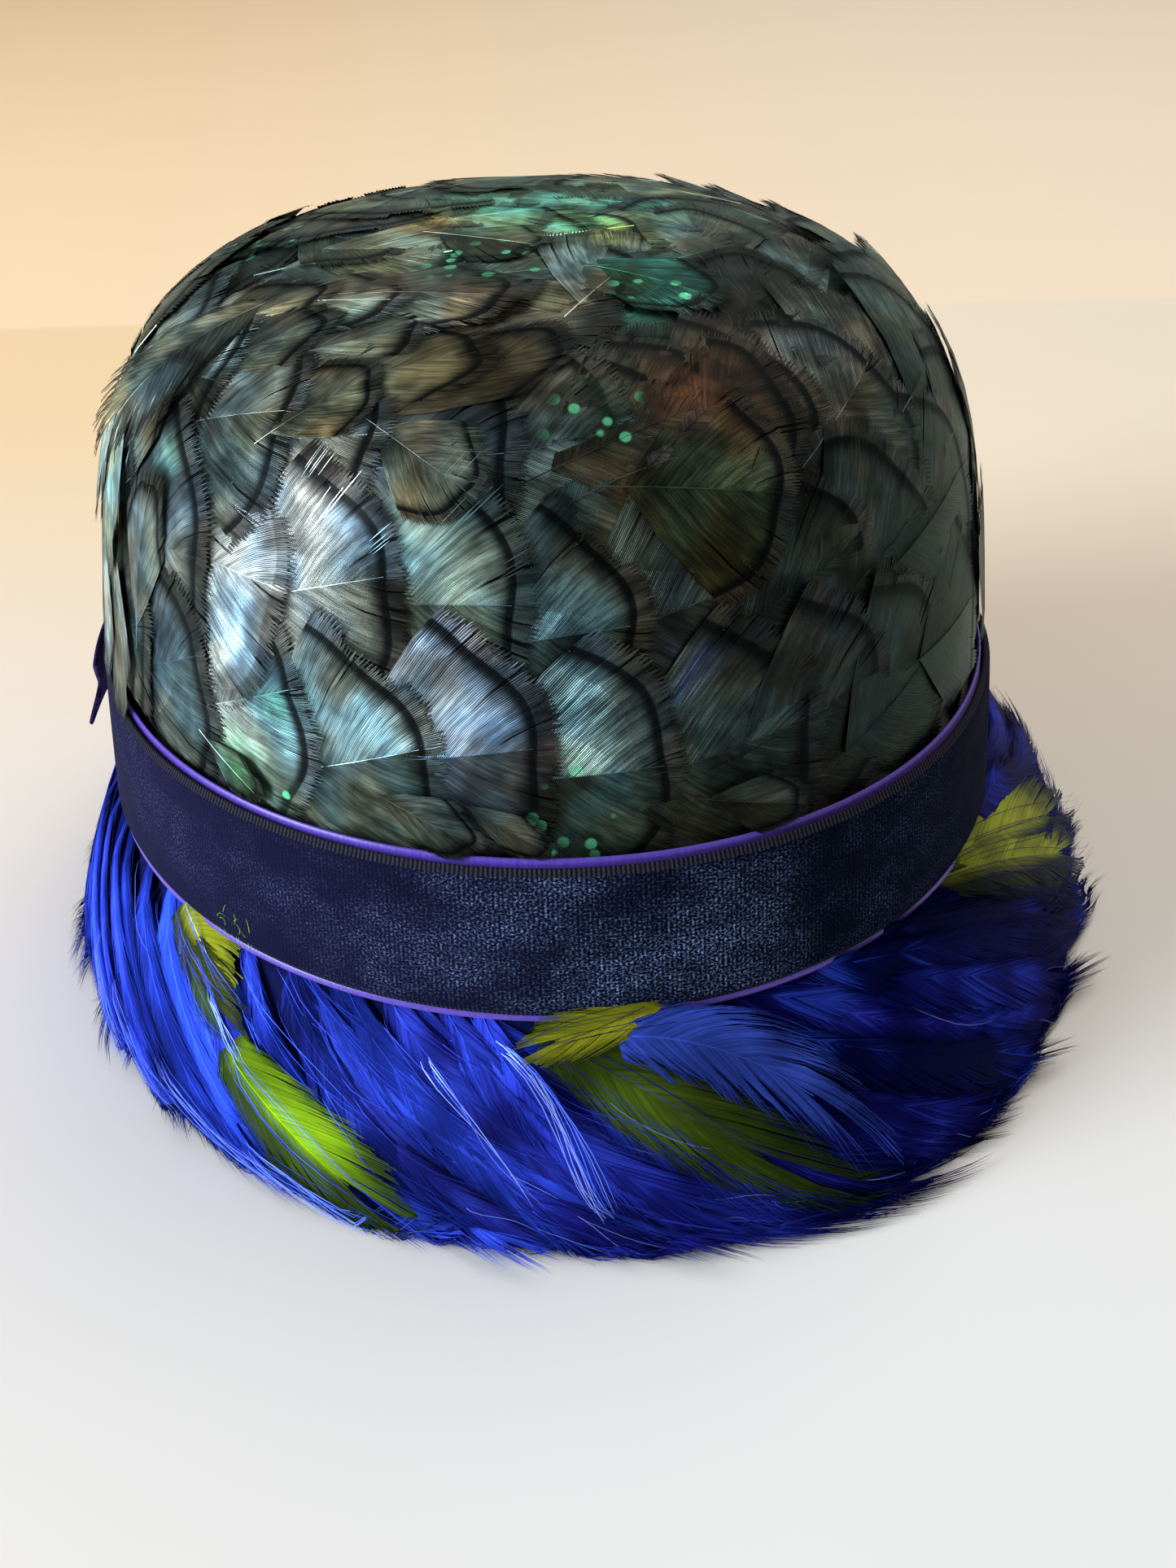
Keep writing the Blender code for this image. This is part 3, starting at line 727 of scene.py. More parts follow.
def lay_fan(fan, turn, length, heading, size, lift, roll, pitch, over_ribbon=0.0):
    """Lay one fan feather on the dome, with its middle at a turn and a length."""
    points = fan[0] * (np.array((*size, 1.0)) * MM)
    place, way_round, way_up, way_out = dome_spot(turn, length)
    ahead = cos(heading) * way_round + sin(heading) * way_up
    aside = np.cross(way_out, ahead)
    x = points[:, 0] - FAN_MIDDLE * FAN_LENGTH * size[0] * MM
    y = points[:, 1]
    near = place + x[:, None] * ahead + y[:, None] * aside
    height = lift + points[:, 2] + roll * y + pitch * x
    return on_dome(near, height.clip(LEAST_LIFT), over_ribbon)


def place_fan(turn, length, heading, scale, lift, dye_and_light=None, spots=0.0, over=0.0, narrow=1.0,
              pitch=FAN_PITCH):
    """Lay one more feather; turn and heading are in degrees, length and lift in mm."""
    fan = fans[int(rng.integers(len(fans)))]
    size = scale * rng.uniform(0.94, 1.08), scale * narrow * rng.uniform(0.92, 1.06)
    roll = FAN_LEAN + rng.normal(0.0, 0.018)
    pitch = pitch + rng.normal(0.0, 0.007)
    turn, heading = radians(turn), radians(heading)
    place = felt_point(turn, length * MM)
    colour = dye_and_light_at(place, rng) if dye_and_light is None else np.array(dye_and_light)
    lift += SIDE_LIFT * cos(turn) ** 2 * (length < LOOSE_ROW)
    lift += TOP_LIFT * min(max((length - TOP_FROM) / TOP_FADE, 0.0), 1.0)
    points = lay_fan(fan, turn, length * MM, heading, size, lift * MM, roll, pitch, over)
    lower = (fan[0][:, 1] < -0.2)[:, None]
    colours = np.where(lower, colour * LOWER_HALF_SHADE, colour)
    colours, spots = painted(points, colours, spots)
    laid.append((points, fan, colours, spots))


for length, count, first, heading in CROWN_ROWS:
    loose = length > LOOSE_ROW
    for feather in range(count):
        jitter = 0.22 if loose else 0.10
        turn = first + 360.0 * (feather + rng.uniform(-jitter, jitter)) / count
        up = length + rng.uniform(-3.0, 3.0)
        tilt = rng.normal(0, 13.0 if loose else 7.0)
        plain = rng.random() < (0.6 if loose else 0.08)
        place_fan(turn, up, heading + tilt, rng.uniform(0.88, 1.1), rng.uniform(0.75, 1.15),
                  spots=PLAIN if plain else 0.0,
                  narrow=rng.uniform(0.60, 1.0) if loose else rng.uniform(0.92, 1.05))
print("feathers in rings:", len(laid))

# %% Lay the feathers that break the rule
EXTRA_FEATHERS = (
    # turn, length, heading, scale, narrow, lift, pitch, dye (lighter at the left as painted sheen),
    # spots, over the ribbon
    (284.0, 72.0, 16, 0.90, 0.95, 1.3, 0.02, (0.042, 0.034, 0.024), 0, 0),
    (293.0, 74.0, 30, 0.85, 0.90, 1.5, 0.02, (0.044, 0.032, 0.025), 0, 0),
    (290.0, 60.0, -12, 0.80, 0.90, 1.4, 0.02, (0.030, 0.037, 0.021), 0, 0),
    (298.0, 105.0, -58, 0.75, 0.60, 1.8, 0.02, (0.03, 0.11, 0.08), 0, 0),
    (250.0, 126.0, -10, 0.60, 0.70, 1.8, 0.02, (0.112, 0.106, 0.080), 0, 0),
    (256.0, 66.0, -30, 0.55, 0.70, 1.8, 0.02, (0.128, 0.131, 0.102), 0, 0),
    (240.0, 74.0, 40, 0.60, 0.55, 1.8, 0.03, (0.232, 0.209, 0.144), 0, 0),
    (256.5, 7.0, -22, 0.50, 0.45, 2.2, 0.04, (0.109, 0.131, 0.114), 0, 1),
    (265.0, 6.5, -30, 0.42, 0.35, 2.2, 0.05, (0.082, 0.099, 0.092), 0, 1),
    (232.0, 7.0, -24, 0.45, 0.40, 2.2, 0.04, (0.136, 0.163, 0.150), 0, 1),
    (292.0, 7.0, -16, 0.55, 0.40, 2.2, 0.04, (0.034, 0.036, 0.028), 0, 1),
    (41.0, 93.0, 8, 0.80, 0.50, 1.6, 0.12, None, 0, 0),
    (30.0, 89.0, 10, 0.80, 0.55, 1.6, 0.10, None, 0, 0),
    (18.5, 84.0, 12, 0.80, 0.45, 1.6, 0.11, None, 0, 0),
    (3.5, 72.0, 14, 0.75, 0.50, 1.6, 0.11, (0.07, 0.11, 0.11), 0, 0),
    (214.0, 84.0, 52, 0.95, 0.42, 2.0, 0.04, (0.136, 0.152, 0.128), 0, 0),
    (222.0, 80.0, 46, 0.95, 0.45, 2.0, 0.04, (0.096, 0.099, 0.080), 0, 0),
    (225.0, 94.0, 22, 0.95, 0.50, 2.0, 0.03, (0.136, 0.157, 0.141), 0, 0),
    (236.0, 85.0, 30, 1.00, 0.42, 2.0, 0.03, (0.116, 0.112, 0.084), 0, 0),
    (248.0, 82.0, 24, 1.00, 0.40, 2.0, 0.03, (0.102, 0.107, 0.078), 0, 0),
    (246.0, 102.0, 8, 0.90, 0.55, 2.0, 0.03, (0.097, 0.093, 0.078), 0, 0),
    (208.0, 58.0, 74, 0.90, 0.40, 1.9, 0.03, (0.176, 0.208, 0.208), 0, 0),
    (214.0, 38.0, 78, 0.85, 0.40, 1.9, 0.03, (0.160, 0.192, 0.208), 0, 0),
    (262.0, 84.0, 34, 0.95, 0.35, 2.0, 0.03, (0.078, 0.078, 0.065), 0, 0),
    (304.0, 88.0, 40, 0.80, 0.70, 1.6, 0.02, (0.034, 0.030, 0.026), 0, 0),
    (188.0, 20.0, 262, 0.95, 0.50, 2.2, 0.02, (0.088, 0.090, 0.074), PLAIN, 1),
    (197.0, 18.0, 266, 0.95, 0.50, 2.4, 0.02, (0.112, 0.128, 0.128), PLAIN, 1),
    (205.0, 16.0, 272, 0.90, 0.45, 2.2, 0.02, (0.080, 0.093, 0.090), PLAIN, 1),
    (193.0, 48.0, 264, 0.95, 0.50, 2.6, 0.02, (0.128, 0.160, 0.160), PLAIN, 0),
    (202.0, 44.0, 270, 0.95, 0.45, 2.6, 0.02, (0.144, 0.208, 0.200), PLAIN, 0),
    (344.0, 22.0, 84, 0.95, 0.50, 2.0, 0.02, (0.040, 0.046, 0.042), PLAIN, 0),
    (352.0, 50.0, 80, 0.95, 0.50, 2.0, 0.02, (0.050, 0.056, 0.052), PLAIN, 0),
    (318.0, 96.0, 30, 0.80, 0.60, 1.6, 0.03, (0.034, 0.036, 0.036), 0, 0),
)
for turn, length, heading, scale, narrow, lift, pitch, dye_and_light, spots, over in EXTRA_FEATHERS:
    place_fan(turn, length, heading, scale, lift, dye_and_light, spots, over, narrow, pitch)
print("crown feathers:", len(laid))

# %% [markdown]
# All the laid feathers become one mesh. Three things travel with each point: its place on the
# vane as a UV map, its dye and shade as a colour, both with painted light and shade in them,
# and its spots as a number.

# %% Turn the laid feathers into one piece
BARB_NUMBERS = 200.0


def feather_mesh(name, feathers):
    """One object from many laid feathers, with their maps, dyes and spots."""
    points, faces, maps, dyes, spots, start = [], [], [], [], [], 0
    for number, (laid_points, template, colour, spotted) in enumerate(feathers):
        points.append(laid_points)
        faces.append(template[1] + start)
        maps.append(template[2] + np.array((0.0, BARB_NUMBERS * number)))
        shade = template[3][:, None]
        colour = np.broadcast_to(colour, (len(laid_points), 3))
        dyes.append(np.concatenate((colour, shade), axis=1))
        spots.append(np.broadcast_to(spotted, len(laid_points)))
        start += len(laid_points)
    points, faces, maps, dyes, spots = map(np.concatenate, (points, faces, maps, dyes, spots))
    mesh = bpy.data.meshes.new(name)
    mesh.from_pydata(points.tolist(), [], faces.tolist())
    layer = mesh.uv_layers.new(name="vane")
    corners = np.zeros(len(mesh.loops), np.int32)
    mesh.loops.foreach_get("vertex_index", corners)
    layer.data.foreach_set("uv", maps[corners].astype(np.float32).ravel())
    dye_and_light = mesh.attributes.new("dye_and_light", "FLOAT_COLOR", "POINT")
    dye_and_light.data.foreach_set("color", dyes.astype(np.float32).ravel())
    spot = mesh.attributes.new("spots", "FLOAT", "POINT")
    spot.data.foreach_set("value", spots.astype(np.float32))
    mesh.shade_smooth()
    print(name, len(feathers), "feathers,", len(mesh.polygons), "faces")
    return add_object(name, mesh)


crown = feather_mesh("crown_feather_rows", laid)

# %% [markdown]
# The sheen of such a feather comes from thin layers in its barbs and changes as it turns. A
# view-dependent colour could follow that, but it would not survive baking into plain maps. So
# the vane is a dark metal in its own dye, which also holds painted sheen and shade, with a
# black bar inside its tip, a grey edge, streaks that run with the barbs, and patches of
# painted sheen.

# %% Finish the dark feathers
SPOTS_PER_METRE = 230.0


def vane_map():
    """Distance from the tip in mm and number of the barb, from the vane's own map."""
    both = Wire.node("ShaderNodeUVMap", {"uv_map": "vane"})
    parts = Wire.node("ShaderNodeSeparateXYZ", None, {0: both})
    return parts * MAP_SCALE, Wire(parts.socket.node.outputs[1])


def attribute(name, out=0):
    """A named attribute of the mesh: output 0 is its colour, 2 its factor and 3 its alpha."""
    return Wire.node("ShaderNodeAttribute", {"attribute_name": name}, out=out)


def barb_line(barb):
    """A fine line for each barb."""
    return (barb * (2.0 * pi)).maths("SINE") * 0.5 + 0.5


def scaled(colour, factor):
    """A colour made darker or lighter by a wire."""
    return Wire.node("ShaderNodeVectorMath", {"operation": "SCALE"}, {0: colour, 3: factor})


def vane_noise(along, across, detail=1.0):
    """Noise in streaks that run with the barbs: cycles in 40 mm, and in one barb."""
    place = Wire.node("ShaderNodeUVMap", {"uv_map": "vane"})
    return noise(1.0, detail, place, (along, across, 1.0)).step(0.28, 0.72)


def dark_feather_finish():
    """A metallic vane with a black bar inside a grey edge, streaks, painted sheen, specks, green
    spots.
    """
    from_edge, barb = vane_map()
    dye_and_light, shade = attribute("dye_and_light"), attribute("dye_and_light", out=3)
    fine, wide = vane_noise(6.0, 0.50), vane_noise(2.0, 0.14, 2.0)
    cloud = noise(95.0, 3.0)
    wave = from_edge + (cloud - 0.5) * 0.9
    marks = attribute("spots", out=2)
    bar = wave.step(3.4, 4.0) * (1.0 - wave.step(4.7, 6.6)) * (marks + 1.0).step(0.0, 1.0)
    outer = 1.0 - wave.step(3.3, 3.9)
    glow = wave.step(5.6, 9.0) * (1.0 - 0.5 * wave.step(17.0, 30.0))
    body = mix(glow, scaled(dye_and_light, 0.45), dye_and_light)
    grey = mix(cloud.step(0.42, 0.6), (0.022, 0.021, 0.017), (0.034, 0.032, 0.036))
    body = mix(outer * 0.6, body, grey)
    body = mix(bar * 0.96, body, (0.0010, 0.0012, 0.0020))
    cells = {"Vector": object_place(), "Scale": SPOTS_PER_METRE}
    spotted = marks.step(0.0, 1.0)
    from_cell = Wire.node("ShaderNodeTexVoronoi", None, cells)
    spot = (1.0 - from_cell.step(0.22, 0.30)) * spotted
    body = mix(spotted * 0.45, body, (0.014, 0.040, 0.028))
    line = barb_line(barb)
    tone = shade * (0.70 + 0.60 * line) * (0.60 + 0.80 * fine) * (0.62 + 0.76 * wide)
    # Patches of noise paint the vane lighter and darker: painted sheen.
    tone = tone * (0.50 + 1.0 * noise(120.0, 2.0).step(0.35, 0.65))
    tint = mix(noise(75.0, 1.0).step(0.36, 0.64), (1.18, 1.0, 0.78), (0.78, 1.0, 1.10))
    body = mix(1.0, body, tint, "MULTIPLY")
    dust = noise(2400.0, 1.0).step(0.74, 0.80)
    body = mix(dust * 0.22, scaled(body, tone), (0.34, 0.33, 0.28))
    body = mix(spot, body, (0.10, 0.48, 0.25))
    rough = 0.28 + 0.12 * cloud + 0.2 * bar
    relief = line * 0.35 + fine * 0.35 + wide * 0.3
    return {"Base Color": body, "Metallic": 0.88 - 0.4 * spot, "Roughness": rough,
            "Normal": bump(relief, 0.00034, 0.8)}


def dress(piece, node, look):
    """Give a finished piece its material, attach it to the root, and hide the solid it stands for.
    """
    piece.data.materials.append(look)
    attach(piece, "root")
    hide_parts(node)


dark_feather = new_look(
    "dark_feather", dark_feather_finish, Specular_IOR_Level=0.24, Coat_Weight=0.04,
    Coat_Roughness=0.22, Specular_Tint=(0.74, 0.90, 0.90, 1.0),
)
dress(crown, "crown_feathers", dark_feather)
print("the crown's piece has", len(crown.data.vertices), "points")

# %% [markdown]
# ## Plumes
#
# The brim is made of slender dyed plumes. Each is a lance-shaped feather: barbs leave the
# shaft at a narrow angle and cling together in clumps, so the edge looks combed. A particle
# system of hairs could give the fluff, but it would not give the blades. The same split grid
# is used for each side of the shaft, with its columns along the plume.

# %% Model one side of a plume
PLUME_LENGTH, PLUME_TIP = 84.0, 1.03
PLUME_SHAFT, PLUME_BARB, PLUME_HALF_WIDTH = 56.0, 36.0, 6.4
PLUME_ROWS = 4
BARBS_PER_PLUME = 190.0


def plume_side(rng, side, strips, loose):
    """One side of a plume: its points, faces, map and shade. Loose barbs part from each other."""
    clump = clumps(strips, 1, 6, rng)
    count = clump[-1] + 1
    splits = np.full(strips + 1, 2)
    for column in np.flatnonzero(np.diff(clump)) + 1:
        splits[column] = 1
    column, row, strip, shared, faces = split_grid(strips, PLUME_ROWS, splits)
    open_up = np.array((0.0, 0.0, 0.22, 0.48, 0.94)) * loose
    open_up[1] = 0.45 * max(0.0, loose - 1.0)
    taper = (1.0 - open_up).clip(0.06)[row]
    middle = strip + 0.5
    column = np.where(shared, column, middle + (column - middle) * taper)
    a = column / strips
    number = clump[strip]
    share = np.array((0.0, 0.28, 0.56, 0.80, 1.0))[row]
    uneven = 1.0 - 0.15 * rng.random(count)[number] - 0.12 * rng.random(strips)[strip]
    width = PLUME_HALF_WIDTH * np.sin(pi * (0.10 + 0.86 * a.clip(0.0, 1.0)) ** 0.85) ** 0.7
    reach = PLUME_BARB * (0.30 + 0.70 * np.sin(0.5 * pi * (a / 0.35).clip(0.0, 1.0)))
    reach = reach * (1.0 - 0.25 * a) * uneven
    x = PLUME_SHAFT * a + reach * (0.72 * share + 0.28 * share ** 2)
    y = side * width * uneven * (1.0 - (1.0 - share) ** 1.25)
    drift = rng.normal(0.0, 0.38 * loose, count)[number] * share ** 2
    drift += rng.normal(0.0, 0.16 * loose, strips)[strip] * share ** 3
    y = y + drift * ~shared
    lift = rng.normal(0.0, 0.13, count)[number] * share * ~shared
    lift += rng.normal(0.0, 0.05, strips)[strip] * share ** 2 * ~shared
    lift += rng.uniform(-0.4, 0.3, count)[number] * share ** 4
    shade = 1.0 + rng.normal(0.0, 0.10, count)[number] + rng.normal(0.0, 0.07, strips)[strip]
    # The upper side is painted a little lighter and each barb darker towards its tip: painted light
    # and shade.
    shade = np.where(shared, 1.0, shade.clip(0.3)) * (1.0 + 0.04 * side) * (1.05 - 0.3 * share)
    maps = np.stack((reach * (1.0 - share) / MAP_SCALE, a * BARBS_PER_PLUME), axis=1)
    if side > 0:
        faces = faces[:, ::-1]
    return np.stack((x, y, lift), axis=1), faces, maps, shade


print("a plume is", round(PLUME_LENGTH * PLUME_TIP, 1), "mm long before it is laid")

# %% [markdown]
# A plume is two such sides and a shaft. The lower layers are hardly seen, so theirs have fewer
# strips. Two kinds with barbs that cling together are for the lime feathers, and one splits
# wide open on one side. A loose barb is a single thin strip that waves a little.

# %% Make the plumes and the loose barbs
UNDER_STRIPS, TOP_STRIPS = 48, 84
PLUME_KINDS, BLADE_KINDS, HAIR_KINDS, HAIR_STATIONS = 6, 2, 12, 9


def plume(rng, strips, loose_upper=1.0, loose_lower=1.0):
    """One plume in millimetres, with both sides and the shaft."""
    parts = [plume_side(rng, 1.0, strips, loose_upper), plume_side(rng, -1.0, strips, loose_lower)]
    add_shaft(parts, PLUME_SHAFT + 4.0, 0.32, 0.20, 9, shade=1.15, from_tip=0.5)
    return join_parts(parts)


def hair(rng):
    """One loose barb: a thin strip that waves a little, in millimetres."""
    part = np.linspace(0.0, 1.0, HAIR_STATIONS)
    half = 0.072 * np.sin(pi * (0.08 + 0.90 * part)) ** 0.6
    sway = rng.normal(0.0, 1.2) * part ** 2 + rng.normal(0.0, 0.5) * np.sin(2.0 * pi * part)
    points = np.zeros((HAIR_STATIONS, 2, 3))
    points[:, :, 0] = (part * PLUME_LENGTH * PLUME_TIP)[:, None]
    points[:, 0, 1], points[:, 1, 1] = sway + half, sway - half
    count = 2 * HAIR_STATIONS
    index = np.arange(count).reshape(HAIR_STATIONS, 2)
    faces = np.stack((index[:-1, 0], index[:-1, 1], index[1:, 1], index[1:, 0]), axis=1)
    return points.reshape(-1, 3), faces, np.full((count, 2), 0.2), np.ones(count)


under_plumes = [plume(rng, UNDER_STRIPS) for _ in range(PLUME_KINDS)]
top_plumes = [plume(rng, TOP_STRIPS) for _ in range(PLUME_KINDS)]
blades = [plume(rng, TOP_STRIPS, 0.15, 0.30) for _ in range(BLADE_KINDS)]
split_plume = plume(rng, TOP_STRIPS, 0.8, 1.95)
hairs = [hair(rng) for _ in range(HAIR_KINDS)]
print("plumes:", len(top_plumes), "of", [len(each[1]) for each in top_plumes], "faces")

# %% [markdown]
# ## One long feather on the crown
#
# At the left shoulder a long smooth feather stands off the crown. It is made like the plumes,
# with barbs that cling together, and takes the crown's dark finish, one half painted light and
# the other half painted shade. It bends along a curve of its own and is turned a little
# towards the front.


# %% Lay the wing feather
def lay_on_spine(points, centres, ways, length):
    """Bend a feather in metres, that runs along X, onto a spine of places and ways."""
    last = len(centres) - 1
    column = (points[:, 0] / length * last).clip(0.0, last - 0.001)
    low = column.astype(int)
    blend = (column - low)[:, None]
    middle = centres[low] * (1.0 - blend) + centres[low + 1] * blend
    aside = ways[low, 1] * (1.0 - blend) + ways[low + 1, 1] * blend
    out = ways[low, 2] * (1.0 - blend) + ways[low + 1, 2] * blend
    return middle + aside * points[:, 1:2] + out * points[:, 2:3]


def smooth_path(stops, stations):
    """Even stations on a smooth curve through a few rows of numbers."""
    stops = np.array(stops, float)
    place = np.linspace(0.0, 1.0, len(stops))
    even = np.linspace(0.0, 1.0, stations)
    curve = [np.polyval(np.polyfit(place, each, min(3, len(stops) - 1)), even) for each in stops.T]
    return np.stack(curve, axis=1)


WING_STOPS = (
    # turn, length up the outline and lift in mm: the long feather off the left shoulder
    (214.0, 90.0, 1.8), (214.5, 77.0, 5.0), (212.5, 66.0, 7.4), (210.0, 57.0, 8.4),
    (207.5, 48.0, 7.4),
)
WING_STATIONS, WING_SIZE, WING_CAMBER = 16, 1.05, 16.0
WING_FACES = np.array((-0.30, -1.20, 0.50))
WING_LIT_HALF, WING_SHADED_HALF = (0.36, 0.41, 0.33), (0.11, 0.14, 0.14)
turn, length, lift = smooth_path(WING_STOPS, WING_STATIONS).T
spots = [dome_spot(radians(t), l * MM) for t, l in zip(turn, length)]
centres = np.array([spot[0] + spot[3] * up * MM for spot, up in zip(spots, lift)])
ahead = unit(np.gradient(centres, axis=0))
out = unit(np.array([spot[3] for spot in spots]) + WING_FACES)
out = unit(out - ahead * (out * ahead).sum(axis=1, keepdims=True))
ways = np.stack((ahead, np.cross(out, ahead), out), axis=1)
total = np.linalg.norm(np.diff(centres, axis=0), axis=1).sum()
points = blades[0][0] * np.array((total / (PLUME_LENGTH * PLUME_TIP), WING_SIZE * MM, MM))
points[:, 2] -= WING_CAMBER * points[:, 1] ** 2
# One half of the wing is painted light and the other half painted shade.
wing_light_and_shade = np.where(points[:, 1:2] < 0.0, WING_LIT_HALF, WING_SHADED_HALF)
points = lay_on_spine(points, centres, ways, total)
wing = feather_mesh("crown_wing_feather", [(points, blades[0], wing_light_and_shade, PLAIN)])
dress(wing, "crown_feathers", dark_feather)
print("the long feather is", round(float(total), 4), "m long")

# %% [markdown]
# ## The shape under the plumes
#
# The brim's felt runs in straight lines from the head oval to the edge, and bows out a little.
# That could be a mesh with a Shrinkwrap modifier for the plumes, but again a formula gives each
# plume its own height. A table of places along the edge gives the brim its raised side at the
# right. Past the edge the surface goes on over the table, for the tips that stick out.

# %% Follow the brim's felt
BRIM_HEAD_RADIUS, BRIM_HEAD_Z, BRIM_BOW, EDGE_BACK = 0.0940, 0.0379, 0.0020, 0.0065
BRIM_EDGE = np.array((
    # reach from the head's centre and lift of the edge in mm, every 30 degrees from +X
    (125.8, 7.2), (128.5, 15.3), (127.0, 13.4), (124.0, 4.0), (120.0, 0.0), (115.0, 0.0),
    (112.3, 0.0), (112.2, 0.0), (116.8, 0.0), (123.0, 0.0), (128.0, 0.0), (124.3, 0.0),
))
TABLE_CLEARANCE, SPLAY = 0.0004, 0.55


def level_way(turn):
    """The level way out from the head at a turn."""
    return np.stack((np.cos(turn), np.sin(turn), 0.0 * turn), axis=-1)


def smooth_between(before, first, second, after, part):
    """A smooth curve between two rows of a table that runs on through the rows beyond."""
    rise, fall = 0.5 * (second - before), 0.5 * (after - first)
    square, cube = part ** 2, part ** 3
    return ((2 * cube - 3 * square + 1) * first + (cube - 2 * square + part) * rise
            + (3 * square - 2 * cube) * second + (cube - square) * fall)


def edge_at(turn):
    """Reach and lift of the brim's edge, smoothly between the table's rows."""
    count = len(BRIM_EDGE)
    place = turn / (2.0 * pi) * count
    row = np.floor(place).astype(int)
    part = (place - row)[..., None]
    edge = smooth_between(*(BRIM_EDGE[(row + k) % count] for k in (-1, 0, 1, 2)), part)
    return edge[..., 0] * MM, edge[..., 1].clip(0.0) * MM


def brim_point(turn, share):
    """Points of the brim's felt; shares above 1 go on past the edge, along the table."""
    turn, share = np.broadcast_arrays(np.asarray(turn, float), share)
    reach, lift = edge_at(turn)
    outward = level_way(turn)
    head = head_point(turn, BRIM_HEAD_RADIUS, BRIM_HEAD_Z)
    edge = HEAD_CENTRE + outward * (reach - EDGE_BACK)[..., None]
    edge[..., 2] = lift
    place = head + (edge - head) * share[..., None]
    below = (TABLE_CLEARANCE - place[..., 2]).clip(0.0)
    bow = BRIM_BOW * 4.0 * share * (1.0 - share.clip(0.0, 1.0)) + SPLAY * below
    place = place + outward * bow[..., None]
    place[..., 2] += below
    return place


def brim_ways(turn, share):
    """The ways round the brim, down it and out of it at one place."""
    place = brim_point(turn, share)
    way_round = unit(brim_point(turn + NUDGE, share) - place)
    way_down = unit(brim_point(turn, share + NUDGE) - place)
    return place, way_round, way_down, unit(np.cross(way_down, way_round))


print("the brim's edge in front:", brim_point(radians(270.0), 1.0).round(4))

# %% [markdown]
# A plume does not run straight down: it sets off aslant and sweeps further round the brim as
# it goes. Where a kind of plume goes all round, its spine is walked step by step over the felt
# from a root and two headings. Where one plume shows clearly in the photo, its spine runs
# through given stops.

# %% Walk a spine over the brim
SPINE_STATIONS, TRIAL_STATIONS, TRIAL_LENGTH = 16, 8, 0.08
STEEPEST, SHORTEST, LONGEST = 80.0, 0.012, 0.105


def walk_spine(turn, share, headings, length, stations):
    """Walk a plume's spine over the felt: its places and ways, and the last share."""
    step = length / (stations - 1)
    centres, ways = [], []
    for station in range(stations):
        part = station / (stations - 1)
        heading = headings[0] + (headings[1] - headings[0]) * part
        heading = radians(min(heading, STEEPEST))
        place, way_round, way_down, way_out = brim_ways(turn, share)
        ahead = sin(heading) * way_round + cos(heading) * way_down
        centres.append(place)
        ways.append((ahead, np.cross(way_out, ahead), way_out))
        down_step = np.linalg.norm(brim_point(turn, share + NUDGE) - place) / NUDGE
        round_step = np.linalg.norm(brim_point(turn + NUDGE, share) - place) / NUDGE
        last = share
        share = share + step * cos(heading) / down_step
        turn = turn + step * sin(heading) / round_step
    return np.array(centres), np.array(ways), last


def walk_to(turn, share, headings, end):
    """A spine that ends at a share of the way down, with its length: two better guesses."""
    length = TRIAL_LENGTH
    centres, ways, last = walk_spine(turn, share, headings, length, TRIAL_STATIONS)
    for _ in range(2):
        length *= (end - share) / (last - share)
        length = min(max(length, SHORTEST), LONGEST)
        centres, ways, last = walk_spine(turn, share, headings, length, SPINE_STATIONS)
    return centres, ways, length


def spine_through(stops):
    """A spine through stops, each a turn in degrees and a share of the way down."""
    turn, share = smooth_path(stops, SPINE_STATIONS).T
    turn = np.radians(turn)
    centres = brim_point(turn, share)
    out = brim_ways(turn, share)[3]
    ahead = unit(np.gradient(centres, axis=0))
    length = np.linalg.norm(np.diff(centres, axis=0), axis=1).sum()
    return centres, np.stack((ahead, np.cross(out, ahead), out), axis=1), length


print("a spine walked in front is", round(walk_to(radians(270.0), 0.0, (50.0, 70.0), 1.0)[2], 4),
      "m long")

# %% [markdown]
# Laying a plume means bending its flat template along a spine. A Curve modifier does the same,
# but here each barb also has to stay clear of the felt and the table. The root is narrow and
# close to the felt, so that the next plume covers it, and the sides bend down a little.

# %% Lay one plume along a spine
ROOT_WIDTH, ROOT_TAPER, PLUME_CAMBER = 0.70, 0.10, 18.0
ROOT_LIFT, ROOT_SHARE, LOWEST_BARB = 0.0007, 0.16, 0.0004


def lay_plume(template, spine, width, lift, curl=0.0, roll=0.0, aside=0.0, upper=1.0):
    """Lay one plume along a spine, with its upper side, towards the ribbon, made narrower.

    Lift raises the plume, curl its tip, and aside bows it sideways, all in metres.
    """
    centres, ways, length = spine
    points = template[0] * (np.array((length / (PLUME_LENGTH * PLUME_TIP), width * MM, MM)))
    points[:, 0] = points[:, 0].clip(0.0, length)
    points[:, 1] *= np.where(points[:, 1] > 0.0, upper, 1.0)
    part = points[:, 0] / length
    points[:, 1] *= (ROOT_WIDTH + (1.0 - ROOT_WIDTH) * part / ROOT_TAPER).clip(max=1.0)
    root = (part / ROOT_SHARE).clip(0.0, 1.0)
    height = (ROOT_LIFT + (lift - ROOT_LIFT) * root) + points[:, 2] + roll * points[:, 1]
    height -= PLUME_CAMBER * points[:, 1] ** 2
    points[:, 2] = (height + curl * part ** 3).clip(LOWEST_BARB)
    points[:, 1] += aside * np.sin(pi * part)
    placed = lay_on_spine(points, centres, ways, length)
    placed[:, 2] = np.maximum(placed[:, 2], TABLE_CLEARANCE + 0.0002 * (lift * 1000.0 % 1.0))
    return placed


print("a laid plume has", len(top_plumes[0][0]), "points")
